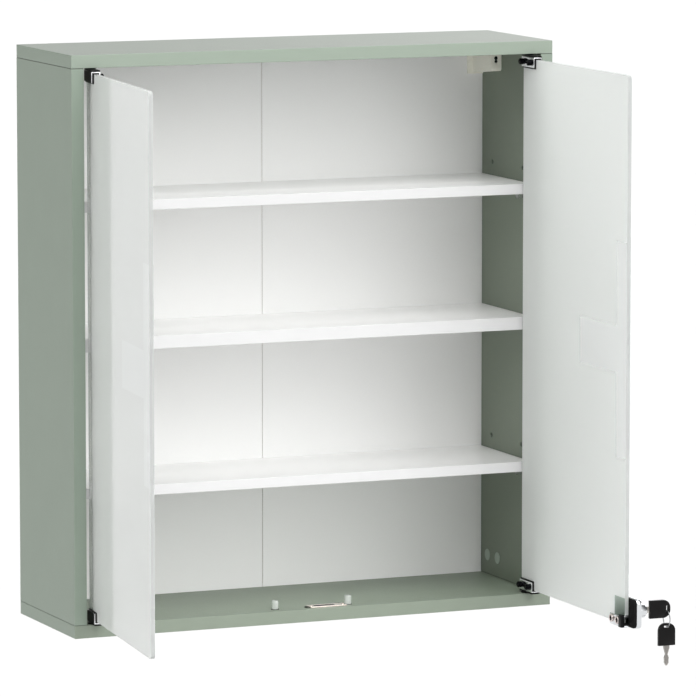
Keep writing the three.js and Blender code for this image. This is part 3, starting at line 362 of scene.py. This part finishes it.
def driven_head(rings, recess, depth):
    """A screw about +Z: a recess in its top face, then rings of (radius, height) from the rim down."""
    bm = bmesh.new()
    radius, top = rings[0]
    bmesh.ops.create_circle(bm, segments=24, radius=radius, matrix=Matrix.Translation((0, 0, top)))
    loop = bm.edges[:]
    corners = [bm.verts.new((x, y, top)) for x, y in recess]
    mouth = [bm.edges.new(pair) for pair in zip(corners, corners[1:] + corners[:1])]
    bmesh.ops.bridge_loops(bm, edges=loop + mouth)
    steps = [(mouth, 1, -depth)]
    for (outer, above), (inner, below) in zip(rings, rings[1:]):
        steps.append((None, inner / outer, below - above))
    for edges, factor, drop in steps:
        grown = bmesh.ops.extrude_edge_only(bm, edges=edges or loop)["geom"]
        verts = [part for part in grown if isinstance(part, bmesh.types.BMVert)]
        bmesh.ops.scale(bm, verts=verts, vec=(factor, factor, 1))
        bmesh.ops.translate(bm, verts=verts, vec=(0, 0, drop))
        lower = [part for part in grown if isinstance(part, bmesh.types.BMEdge)]
        if edges:
            bmesh.ops.contextual_create(bm, geom=lower)
        else:
            loop = lower
    bmesh.ops.contextual_create(bm, geom=loop)
    bmesh.ops.recalc_face_normals(bm, faces=bm.faces)
    return bm


def cross_recess(arm, width):
    """The outline of a cross slot, its arm measured from the middle."""
    half = width / 2
    quarter = [(arm, -half), (arm, half), (half, half)]
    points = []
    for turn in range(4):
        for x, y in quarter:
            for _ in range(turn):
                x, y = -y, x
            points.append((x, y))
    return points


beige = moulded("beige_abs", "#f8f7ec", "#f1efe2", roughness=0.4, relief=0.02 * MM)
blackened = plated("blackened_steel", "#17181a", "#0d0d0f", roughness=0.36, spread=0.08)
zinc = plated("zinc_plated_steel", "#c3c5c6", "#aeb1b3", roughness=0.3, spread=0.08)
nylon = moulded("black_nylon", "#0d0d0e", "#080809", roughness=0.4, relief=0.02 * MM, shine=0.12)
hanger_rim, hanger_sink = 0.4 * MM, 0.3 * MM
hole_shade_radius, hole_shade_floor, hole_shade_dish = 1.7 * MM, 1.36 * MM, 0.5 * MM
hole_shade_depth, hole_shade_drop = 2 * MM, 4 * MM
for side in SIDES:
    refine(f"{side}_hanger_housing", f"{side}_hanger_body", edge=1.4 * MM, material=beige,
           slot="beige_plastic", segments=4)
    refine(f"{side}_wall_hook", f"{side}_hanger_hook", edge=0.4 * MM, material=zinc, slot="bright_steel")
    low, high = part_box(f"{side}_hanger_screw")
    radius, length = (high.z - low.z) / 2, high.y - low.y
    # The height screw is blackened as painted shade: its black stands in for the dark of the hole it turns
    # in.
    bm = driven_head([(radius - hanger_rim, 0), (radius, -hanger_sink), (radius, -length)],
                     cross_recess(arm=radius * 0.65, width=radius * 0.3), depth=radius * 0.6)
    stand(bm, ((low.x + high.x) / 2, low.y, (low.z + high.z) / 2), (0, -1, 0))
    new_piece(f"{side}_height_screw", bm, blackened, f"{side}_screw", "bright_steel",
              f"{side}_hanger_screw")
    # A black cup in the housing's lower hole is painted shade: it stands in for the dark inside the hole.
    bm = lathe([(0, -hole_shade_dish), (hole_shade_floor, -hole_shade_dish), (hole_shade_radius, 0),
                (hole_shade_radius, -hole_shade_depth), (0, -hole_shade_depth)])
    stand(bm, ((low.x + high.x) / 2, low.y, (low.z + high.z) / 2 - hole_shade_drop), (0, -1, 0))
    new_piece(f"{side}_hanger_hole_shade_cup", bm, nylon, "carcass", "black_nylon")


# Strike plate
# A pressed steel plate with a pale rose plating, let onto the bottom panel over the bolt's mortise
# and held by two small raised-head screws. A black cup in the slot below it is painted shade for the dark
# of the slot.
rose = plated("rose_plated_steel", "#f4ece6", "#e8dad1", roughness=0.2, spread=0.06)
refine("strike_facing", "strike_plate", edge=0.3 * MM, material=rose, slot="copper_plate")
strike_low, strike_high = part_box("strike_plate")
strike_inset, strike_head, strike_dome = 3.2 * MM, 2.4 * MM, 0.6 * MM
strike_crown, strike_shoulder, shoulder_rise = 1.92 * MM, 2.28 * MM, 0.36 * MM
for end, x in (("left", strike_low.x + strike_inset), ("right", strike_high.x - strike_inset)):
    bm = driven_head([
        (strike_crown, strike_dome), (strike_shoulder, shoulder_rise), (strike_head, 0),
    ], cross_recess(arm=strike_head * 0.55, width=strike_head * 0.24), depth=strike_dome * 0.7)
    stand(bm, (x, (strike_low.y + strike_high.y) / 2, strike_high.z), (0, 0, 1))
    new_piece(f"strike_screw_{end}", bm, rose, "carcass", "copper_plate")
cup_start, cup_length, cup_width, cup_depth = 7.05 * MM, 25.8 * MM, 5.8 * MM, 10 * MM
cup_wall, cup_sunk, squarely = 0.4 * MM, 0.05 * MM, 0.9
cup_middle = Vector((strike_low.x + cup_start + cup_length / 2, (strike_low.y + strike_high.y) / 2,
                     strike_high.z - cup_sunk - cup_depth / 2))
bm = bmesh.new()
cup_size = (cup_length, cup_width, cup_depth)
bmesh.ops.create_cube(bm, size=1, matrix=Matrix.LocRotScale(cup_middle, None, cup_size))
mouth = [face for face in bm.faces if face.normal.z > squarely]
bmesh.ops.inset_region(bm, faces=mouth, thickness=cup_wall, use_even_offset=True)
bmesh.ops.inset_region(bm, faces=mouth, thickness=cup_wall / 2, depth=cup_wall * 2 - cup_depth,
                       use_even_offset=True)
new_piece("strike_slot_shade_cup", bm, nylon, "carcass", "black_nylon")
# A black stud beside the plate's left end is painted shade, for the dark of the plate's shaded end.
stud_radius, stud_crown, stud_gap = 2.2 * MM, 1.76 * MM, 0.3 * MM
stud_wall, crown_rise, stud_rise = 0.78 * MM, 1.235 * MM, 1.3 * MM
bm = lathe([(0, 0), (stud_radius, 0), (stud_radius, stud_wall), (stud_crown, crown_rise), (0, stud_rise)])
stand(bm, (strike_low.x - stud_radius - stud_gap, cup_middle.y, strike_low.z), (0, 0, 1))
new_piece("strike_end_shade_stud", bm, nylon, "carcass", "black_nylon")


# Door stops
# Milky soft pegs pressed into the bottom panel. A thin black ring round the base of each is a
# painted contact shadow. The closed panes come to rest against them.
shadow_ring_gap, shadow_ring_width, shadow_ring_top, shadow_ring_rise = 0.05 * MM, 0.9 * MM, 0.72 * MM, 0.5 * MM
milky, tree, shader, place = start_material(
    "milky_polyurethane", **{"IOR": 1.5, "Transmission Weight": 0.6, "Roughness": 0.25})
cloud = add_node(tree, "ShaderNodeTexNoise", {"Vector": place, "Scale": 1 / flow_size, "Detail": 2})
haze = add_node(tree, "ShaderNodeMix", {
    0: cloud.outputs[0], 6: linear("#e9efe9"), 7: linear("#f6f9f6")}, data_type="RGBA")
tree.links.new(haze.outputs[2], shader.inputs["Base Color"])
for side in SIDES:
    refine(f"{side}_door_buffer", f"{side}_door_stop", edge=0.8 * MM, material=milky,
           slot="clear_plastic", segments=3)
    low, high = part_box(f"{side}_door_stop")
    peg = (high.x - low.x) / 2
    # The black ring is a painted contact shadow.
    bm = lathe([(peg + shadow_ring_gap, 0), (peg + shadow_ring_width, 0), (peg + shadow_ring_top, shadow_ring_rise),
                (peg + shadow_ring_gap, shadow_ring_rise), (peg + shadow_ring_gap, 0)])
    stand(bm, ((low.x + high.x) / 2, (low.y + high.y) / 2, floor_z), (0, 0, 1))
    new_piece(f"{side}_stop_foot_ring", bm, nylon, "carcass", "black_nylon")


# Hinge bushes
# Black nylon cups pressed into the top and bottom panels, with a flange that the hinge turns
# against and a bore for its pivot pin.
bush_bore, bush_body, flange_edge = 2.65 * MM, 4.5 * MM, 0.3 * MM
bush_flange, bush_floor = 1 * MM, 2 * MM
for side in SIDES:
    for end, up in ENDS.items():
        low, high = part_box(f"{side}_{end}_hinge_bush")
        flange = (high.x - low.x) / 2
        depth = high.z - low.z - bush_flange
        bm = lathe([
            (0, depth - bush_floor), (bush_bore, depth - bush_floor),
            (bush_bore, flange_edge - bush_flange), (bush_bore + flange_edge, -bush_flange),
            (flange - flange_edge, -bush_flange), (flange, flange_edge - bush_flange),
            (flange, 0), (bush_body, 0), (bush_body, depth), (0, depth),
        ])
        face = low.z + bush_flange if up > 0 else high.z - bush_flange
        stand(bm, ((low.x + high.x) / 2, (low.y + high.y) / 2, face), (0, 0, up))
        new_piece(f"{side}_{end}_pivot_cup", bm, nylon, "carcass", "black_nylon",
                  f"{side}_{end}_hinge_bush")


# Pivot hinges
# A bright chromed steel channel grips the corner of each pane over a black liner, whose plate carries
# the pivot pin, and a thin black skin over its outer face is a painted reflection of the dark gap
# between the pane and the side panel. Two blackened screws clamp it from inside.
chrome = plated("bright_chrome", "#f6f7f8", "#eceef0", roughness=0.08, spread=0.04)
OPEN_DEGREES = {"left": 96.5, "right": 90}
head_proud, head_rim, head_round, head_slim = 4.7 * MM, 0.8 * MM, 0.35 * MM, 0.4 * MM
shank_radius = 2 * MM
shade_skin_edge, shade_skin_thick, shade_skin_gap = 0.4 * MM, 0.25 * MM, 0.02 * MM
low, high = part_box("right_top_hinge_screw_rear")
screw_length = high.x - low.x
for side, sign in SIDES.items():
    opened = math.radians(OPEN_DEGREES[side]) * sign
    inwards = Vector((-math.sin(opened), math.cos(opened), 0))
    for end in ENDS:
        hinge = f"{side}_{end}_hinge"
        refine(f"{hinge}_channel", f"{hinge}_clamp", edge=0.3 * MM, material=chrome, slot="chrome")
        refine(f"{hinge}_liner", f"{hinge}_insert", edge=0.25 * MM, material=nylon, slot="black_nylon")
        # The outer skin is a painted reflection: black where the chrome would mirror the dark gap.
        bm = merged_copy(f"{hinge}_clamp")
        outer = max(bm.faces, key=lambda face: -face.normal.dot(inwards) * face.calc_area())
        bmesh.ops.delete(bm, geom=[face for face in bm.faces if face is not outer], context="FACES")
        bmesh.ops.inset_region(bm, faces=bm.faces, thickness=shade_skin_edge, depth=shade_skin_thick)
        bmesh.ops.translate(bm, verts=bm.verts, vec=-inwards * shade_skin_gap)
        bmesh.ops.holes_fill(bm, edges=[edge for edge in bm.edges if edge.is_boundary], sides=0)
        bmesh.ops.recalc_face_normals(bm, faces=bm.faces)
        new_piece(f"{hinge}_outer_shade_skin", bm, nylon, f"{side}_door", "black_nylon")
        for row in ("rear", "front"):
            low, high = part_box(f"{hinge}_screw_{row}")
            radius = (high.z - low.z) / 2 - head_slim
            bm = driven_head([
                (radius - head_rim, head_proud), (radius - head_round, head_proud - head_round),
                (radius, head_proud - head_rim), (radius, 0), (shank_radius, 0),
                (shank_radius, head_proud - screw_length),
            ], cross_recess(arm=radius * 0.55, width=radius * 0.22), depth=head_proud * 0.3)
            stand(bm, (low + high) / 2 + inwards * (screw_length / 2 - head_proud), inwards)
            new_piece(f"{hinge}_clamping_screw_{row}", bm, blackened, f"{side}_door", "black_oxide_steel",
                      f"{hinge}_screw_{row}")


# Door panes
# Five-millimetre toughened float glass with ground edges. The outer face is polished and the
# inner face is frosted, except for half of a clear cross that the two doors make together. The
# left pane's hinge edge, in the cabinet's mouth, lets the light of the white boards through.
cross_reach, cross_half_arm = 124 * MM, 27 * MM
frost_size, frost_depth, polish = 0.9 * MM, 0.03 * MM, 0.1
half_glass, skin = 2.5 * MM, 0.3 * MM
clearness, mouth_clearness, mouth_reach = 0.45, 0.8, 10 * MM
pivots = {joint["child"]: joint["pos_m"] for joint in frame["joints"] if joint["child"].endswith("_door")}
pad_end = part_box("lock_pad")[1]
pad_reach = pad_end.y - pivots["right_door"][1] + pivots["right_door"][0]
no_pad, pad_shade = -1, 16 * MM
pad_rise = {"left": no_pad, "right": pad_end.z - pivots["right_door"][2]}
for side, sign in SIDES.items():
    glass, tree, shader, place = start_material(
        f"frosted_float_glass_{side}", **{"IOR": 1.3, "Transmission Weight": clearness})
    pivot = pivots[f"{side}_door"]
    door_place = add_node(tree, "ShaderNodeMapping", {
        "Vector": place, "Location": pivot,
        "Rotation": (0, 0, sign * math.radians(OPEN_DEGREES[side]))}, vector_type="TEXTURE")
    axes = add_node(tree, "ShaderNodeSeparateXYZ", {0: door_place.outputs[0]})
    from_seam = add_node(tree, "ShaderNodeMath", {
        0: axes.outputs["X"], 1: sign, 2: abs(pivot[0])}, operation="MULTIPLY_ADD")
    rise = add_node(tree, "ShaderNodeMath", {0: axes.outputs["Z"]}, operation="ABSOLUTE")
    bars = []
    for across, along in ((from_seam, rise), (rise, from_seam)):
        narrow = add_node(tree, "ShaderNodeMath", {
            0: across.outputs[0], 1: cross_half_arm}, operation="LESS_THAN")
        within = add_node(tree, "ShaderNodeMath", {
            0: along.outputs[0], 1: cross_reach}, operation="LESS_THAN")
        bars.append(add_node(tree, "ShaderNodeMath", {
            0: narrow.outputs[0], 1: within.outputs[0]}, operation="MULTIPLY").outputs[0])
    clear = add_node(tree, "ShaderNodeMath", {0: bars[0], 1: bars[1]}, operation="MAXIMUM")
    inner = add_node(tree, "ShaderNodeMath", {
        0: axes.outputs["Y"], 1: half_glass - skin}, operation="GREATER_THAN")
    outer = add_node(tree, "ShaderNodeMath", {
        0: axes.outputs["Y"], 1: skin - half_glass}, operation="LESS_THAN")
    figure = add_node(tree, "ShaderNodeMath", {
        0: clear.outputs[0], 1: inner.outputs[0]}, operation="MULTIPLY")
    polished = add_node(tree, "ShaderNodeMath", {
        0: figure.outputs[0], 1: outer.outputs[0]}, operation="MAXIMUM")
    matt_area = add_node(tree, "ShaderNodeMath", {0: 1, 1: polished.outputs[0]}, operation="SUBTRACT")
    grain = add_node(tree, "ShaderNodeTexNoise", {
        "Vector": place, "Scale": 1 / frost_size, "Detail": 3})
    matt = add_node(tree, "ShaderNodeMapRange", {
        "Value": grain.outputs[0], "To Min": 0.5, "To Max": 0.62})
    gloss = add_node(tree, "ShaderNodeMix", {
        0: matt_area.outputs[0], 2: polish, 3: matt.outputs[0]}, data_type="FLOAT")
    etched = add_node(tree, "ShaderNodeMix", {
        0: grain.outputs[0], 6: linear("#f5f8f6"), 7: linear("#fafcfa")}, data_type="RGBA")
    # Where the lock's pad lies behind the right pane, the glass is painted a grey-green that darkens
    # downwards: painted shade for the pad seen through the frost.
    beside = add_node(tree, "ShaderNodeMath", {
        0: from_seam.outputs[0], 1: pad_reach}, operation="LESS_THAN")
    below = add_node(tree, "ShaderNodeMath", {
        0: axes.outputs["Z"], 1: pad_rise[side]}, operation="LESS_THAN")
    painted_pad_area = add_node(tree, "ShaderNodeMath", {
        0: beside.outputs[0], 1: below.outputs[0]}, operation="MULTIPLY")
    depth = add_node(tree, "ShaderNodeMath", {0: axes.outputs["Y"]}, operation="ABSOLUTE")
    ground = add_node(tree, "ShaderNodeMath", {
        0: depth.outputs[0], 1: half_glass - skin}, operation="LESS_THAN")
    shaded = add_node(tree, "ShaderNodeMapRange", {
        "Value": axes.outputs["Z"], "From Min": pad_rise[side] - pad_shade, "From Max": pad_rise[side]})
    painted_pad_shade = add_node(tree, "ShaderNodeMix", {
        0: shaded.outputs[0], 6: linear("#76837a"), 7: linear("#b0beb4")}, data_type="RGBA").outputs[2]
    cut_out = add_node(tree, "ShaderNodeMath", {
        0: clear.outputs[0], 1: outer.outputs[0]}, operation="MULTIPLY")
    tint = etched
    for zone, colour in ((figure, linear("#f2f4f3")), (outer, linear("#dfe1df")),
                         (cut_out, linear("#e4e6e5")), (painted_pad_area, painted_pad_shade), (ground, linear("#cacccb"))):
        tint = add_node(tree, "ShaderNodeMix", {
            0: zone.outputs[0], 6: tint.outputs[2], 7: colour}, data_type="RGBA")
    bump = add_node(tree, "ShaderNodeBump", {
        "Height": grain.outputs[0], "Strength": matt_area.outputs[0], "Distance": frost_depth})
    if side == "left":
        passing = add_node(tree, "ShaderNodeMapRange", {
            "Value": from_seam.outputs[0], "From Min": abs(pivot[0]) - mouth_reach,
            "From Max": abs(pivot[0]), "To Min": clearness, "To Max": mouth_clearness})
        tree.links.new(passing.outputs[0], shader.inputs["Transmission Weight"])
    tree.links.new(tint.outputs[2], shader.inputs["Base Color"])
    tree.links.new(gloss.outputs[0], shader.inputs["Roughness"])
    tree.links.new(bump.outputs[0], shader.inputs["Normal"])
    soften(f"{side}_door_glass", glass, edge=0.5 * MM)


# Lock
# A chromed zinc casting clamps the lower free corner of the right pane with two socket screws.
# Its plate reaches over the left pane on a rubber pad, and the key plug drops a steel bolt.
rubber = moulded("black_rubber", "#0e0e0e", "#090909", roughness=0.7, relief=0.05 * MM, shine=0.12)
cast_chrome = plated("chromed_zinc", "#e2e4e6", "#d4d7d9", roughness=0.08, spread=0.04)
nickel = plated("nickel_plated_steel", "#e6dcd7", "#b3a7a2", roughness=0.22, spread=0.08)
refine("lock_casting", "lock_housing", edge=0.3 * MM, material=cast_chrome, slot="chrome")
refine("lock_gasket", "lock_pad", edge=0.4 * MM, material=rubber, slot="black_rubber")
refine("lock_plug", "lock_barrel", edge=0.4 * MM, material=cast_chrome, slot="chrome")
refine("lock_slide_bolt", "lock_bolt", edge=0.2 * MM, material=zinc, slot="bright_steel")
refine("lock_bolt_cover", "lock_case", edge=1.9 * MM, material=nylon, slot="black_nylon", segments=4)
jaw_proud, jaw_round, jaw_bore, socket_sides = 1.8 * MM, 0.4 * MM, 2.9 * MM, 6
screw_gap, socket_radius, socket_depth = 0.15 * MM, 1.7 * MM, 1.2 * MM
socket = [(socket_radius * math.cos(math.tau * step / socket_sides),
           socket_radius * math.sin(math.tau * step / socket_sides)) for step in range(socket_sides)]
for name in ("near_bolt", "far"):
    low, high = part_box(f"lock_screw_{name}")
    radius, length = (high.z - low.z) / 2, high.x - low.x
    seat = (low.x + jaw_proud, (low.y + high.y) / 2, (low.z + high.z) / 2)
    washer = lathe([
        (jaw_bore, 0), (radius, 0), (radius, jaw_proud - jaw_round), (radius - jaw_round, jaw_proud),
        (jaw_bore + jaw_round, jaw_proud), (jaw_bore, jaw_proud - jaw_round), (jaw_bore, 0)])
    stand(washer, seat, (-1, 0, 0))
    new_piece(f"jaw_cup_washer_{name}", washer, nickel, "right_door", "bright_steel")
    head = jaw_bore - screw_gap
    bm = driven_head([
        (head - jaw_round, jaw_proud - jaw_round), (head, jaw_proud - 2 * jaw_round), (head, 0),
        (shank_radius, 0), (shank_radius, jaw_proud - length)], socket, socket_depth)
    stand(bm, seat, (-1, 0, 0))
    new_piece(f"jaw_screw_{name}", bm, blackened, "right_door", "bright_steel", f"lock_screw_{name}")


# Keys and ring
# Two flat nickel-silver keys with black moulded bows, one in the lock and the other hanging
# from it on a split ring of two turns of spring wire.
bow_corner, bow_rim, bow_sunk, bow_edge = 9 * MM, 1.6 * MM, 0.5 * MM, 0.3 * MM
slot_length, slot_width, slot_rim, slot_corner = 8 * MM, 2.5 * MM, 2.7 * MM, 1.1 * MM
bow_nylon = moulded("black_bow_nylon", "#0e0d0d", "#0a0909", roughness=0.34, relief=0.02 * MM, shine=0.14)
key_steel = plated("nickel_silver", "#d2cfca", "#aaa6a0", roughness=0.2, spread=0.08)
groove_edge, groove_depth, blade_edge = 1 * MM, 0.3 * MM, 0.12 * MM
neck_half, neck_match, neck_pinch = 2.3 * MM, 0.1 * MM, 0.6
low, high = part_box("key_blade")
tree = key_steel.node_tree
shader = tree.nodes["Principled BSDF"]
axes = add_node(tree, "ShaderNodeSeparateXYZ", {
    0: add_node(tree, "ShaderNodeTexCoord", {}).outputs["Object"]})
# The blades are a darker grey in their sunk grooves.
sunk = add_node(tree, "ShaderNodeMath", {
    0: axes.outputs["Y"], 1: (low.y + high.y) / 2, 2: (high.y - low.y - groove_depth) / 2},
    operation="COMPARE")
darker_groove = add_node(tree, "ShaderNodeMix", {
    0: sunk.outputs[0], 6: shader.inputs["Base Color"].links[0].from_socket, 7: linear("#8b8884")},
    data_type="RGBA")
tree.links.new(darker_groove.outputs[2], shader.inputs["Base Color"])


def rounded_loop(bm, points, corners, radius):
    """A closed loop through (x, z) points, with some corners rounded."""
    verts = [bm.verts.new((x, 0, z)) for x, z in points]
    for pair in zip(verts, verts[1:] + verts[:1]):
        bm.edges.new(pair)
    bmesh.ops.bevel(bm, geom=[verts[i] for i in corners], offset=radius, offset_type="OFFSET",
                    affect="VERTICES", segments=8, profile=0.5, material=-1)


for key in ("key", "spare_key"):
    low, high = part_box(f"{key}_bow")
    size = high - low
    length, width = max(size.x, size.z), min(size.x, size.z)
    bm = bmesh.new()
    half, slot_half = width / 2, slot_length / 2
    slot_top = length - slot_rim
    rounded_loop(bm, [(-half, 0), (half, 0), (half, length), (-half, length)], (2, 3), bow_corner)
    rounded_loop(bm, [(-slot_half, slot_top - slot_width), (slot_half, slot_top - slot_width),
                      (slot_half, slot_top), (-slot_half, slot_top)], range(4), slot_corner)
    bmesh.ops.bridge_loops(bm, edges=bm.edges)
    grown = bmesh.ops.extrude_face_region(bm, geom=bm.faces[:])["geom"]
    far_side = [part for part in grown if isinstance(part, bmesh.types.BMVert)]
    bmesh.ops.translate(bm, vec=(0, size.y, 0), verts=far_side)
    bmesh.ops.recalc_face_normals(bm, faces=bm.faces)
    faces = [face for face in bm.faces if abs(face.normal.y) > squarely]
    bmesh.ops.inset_region(bm, faces=faces, thickness=bow_rim, depth=-bow_sunk, use_even_offset=True,
                           use_boundary=True)
    ease_edges(bm, bow_edge)
    if key == "key":
        middle = (low + high) / 2
        bmesh.ops.rotate(bm, verts=bm.verts, cent=(0, 0, 0), matrix=Matrix.Rotation(math.pi / 2, 3, "Y"))
        bmesh.ops.translate(bm, verts=bm.verts, vec=(low.x, low.y, middle.z))
    else:
        bmesh.ops.translate(bm, verts=bm.verts, vec=((low.x + high.x) / 2, low.y, low.z))
    new_piece(f"{key}_moulded_bow", bm, bow_nylon, key, "black_nylon", f"{key}_bow")
    low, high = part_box(f"{key}_blade")
    across = 2 if key == "key" else 0
    bm = merged_copy(f"{key}_blade")
    middle, pinch = (low + high) / 2, Vector((1, 1, 1))
    pinch[across] = neck_pinch
    necked = [v for v in bm.verts if abs(abs(v.co[across] - middle[across]) - neck_half) < neck_match]
    bmesh.ops.scale(bm, verts=necked, vec=pinch, space=Matrix.Translation(-middle))
    flats = [face for face in bm.faces if abs(face.normal.y) > squarely]
    bmesh.ops.inset_region(bm, faces=flats, thickness=groove_edge, depth=-groove_depth,
                           use_even_offset=True, use_boundary=True)
    ease_edges(bm, blade_edge)
    new_piece(f"{key}_cut_blade", bm, key_steel, key, "bright_steel", f"{key}_blade")

ring_low, ring_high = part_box("key_ring")
ring_wire, ring_turns, ring_steps = (ring_high.x - ring_low.x) / 4, 2, 48
ring_radius = (ring_high.z - ring_low.z) / 2 - 2 * ring_wire
bm = bmesh.new()
section = bmesh.ops.create_circle(
    bm, segments=12, radius=1,
    matrix=Matrix.Translation((ring_radius, 0, -ring_wire)) @ Matrix.Rotation(math.pi / 2, 4, "X")
    @ Matrix.Diagonal((2 * ring_wire, ring_wire, 1, 1)))["verts"]
bmesh.ops.spin(bm, geom=section + bm.edges[:], cent=(0, 0, 0), axis=(0, 0, 1), angle=math.tau * ring_turns,
               dvec=(0, 0, ring_wire / ring_steps), steps=ring_steps * ring_turns, use_merge=False)
bmesh.ops.holes_fill(bm, edges=[edge for edge in bm.edges if edge.is_boundary], sides=0)
bmesh.ops.recalc_face_normals(bm, faces=bm.faces)
stand(bm, (ring_low + ring_high) / 2, (1, 0, 0))
new_piece("split_ring", bm, zinc, "ring", "bright_steel", "key_ring")


# Studio
# A pale floor well below the hanging cabinet, even white light that is strongest from the front
# and above, and a long lens to the left of the cabinet and half a metre above its top.
floor_drop, floor_half = 1.6, 90
floor_cloth, tree, shader, place = start_material("pale_floor", Roughness=0.9)
mottle_size = 0.4
mottle = add_node(tree, "ShaderNodeTexNoise", {"Vector": place, "Scale": 1 / mottle_size, "Detail": 2})
pale = add_node(tree, "ShaderNodeMix", {
    0: mottle.outputs[0], 6: linear("#cdcdcd"), 7: linear("#d0d0d0")}, data_type="RGBA")
tree.links.new(pale.outputs[2], shader.inputs["Base Color"])
bm = bmesh.new()
bmesh.ops.create_grid(bm, x_segments=4, y_segments=4, size=floor_half)
bmesh.ops.translate(bm, verts=bm.verts, vec=(0, 0, cad_low.z - floor_drop))
floor_mesh = bpy.data.meshes.new("studio_floor")
bm.to_mesh(floor_mesh)
bm.free()
floor_mesh.materials.append(floor_cloth)
floor = bpy.data.objects.new("studio_floor", floor_mesh)
bpy.context.scene.collection.objects.link(floor)


def direction(azimuth, height):
    """The unit vector from the cabinet towards an azimuth and a height in degrees."""
    azimuth, height = math.radians(azimuth), math.radians(height)
    return Vector((math.sin(azimuth) * math.cos(height), -math.cos(azimuth) * math.cos(height),
                   math.sin(height)))


light_focus = 12
soft_lights = {
    "above_front": (0, 50, 6.7), "overhead": (0, 75, 1.9), "low_front": (15, 8, 2.6),
    "left": (-90, 20, 4.3), "rear_right": (130, 20, 6.2)}
world = bpy.data.worlds.new("studio_light")
world.use_nodes = True
bpy.context.scene.world = world
tree = world.node_tree
tree.nodes.clear()
outwards = add_node(tree, "ShaderNodeTexCoord", {}).outputs["Generated"]
level = 0
for azimuth, height, strength in soft_lights.values():
    facing = add_node(tree, "ShaderNodeVectorMath", {
        0: outwards, 1: direction(azimuth, height)}, operation="DOT_PRODUCT")
    ahead = add_node(tree, "ShaderNodeMath", {0: facing.outputs["Value"], 1: 0}, operation="MAXIMUM")
    spread = add_node(tree, "ShaderNodeMath", {0: ahead.outputs[0], 1: light_focus}, operation="POWER")
    level = add_node(tree, "ShaderNodeMath", {0: spread.outputs[0], 1: strength, 2: level},
                     operation="MULTIPLY_ADD").outputs[0]
sky = add_node(tree, "ShaderNodeBackground", {"Color": linear("#ffffff"), "Strength": level})
add_node(tree, "ShaderNodeOutputWorld", {"Surface": sky.outputs[0]})
bpy.context.scene.view_settings.view_transform = "Standard"

camera_azimuth, camera_height = -22.897, 7.282
camera_distance, camera_lens, camera_reach = 6.7489, 295.77, 300
camera_target = Vector((0.07995, -0.090, -0.35613))
backwards = direction(camera_azimuth, camera_height)
lens = bpy.data.cameras.new("studio_camera")
lens.lens = camera_lens
lens.clip_end = camera_reach
camera = bpy.data.objects.new("studio_camera", lens)
bpy.context.scene.collection.objects.link(camera)
camera.location = camera_target + backwards * camera_distance
camera.rotation_mode = "QUATERNION"
camera.rotation_quaternion = (-backwards).to_track_quat("-Z", "Y")
bpy.context.scene.camera = camera
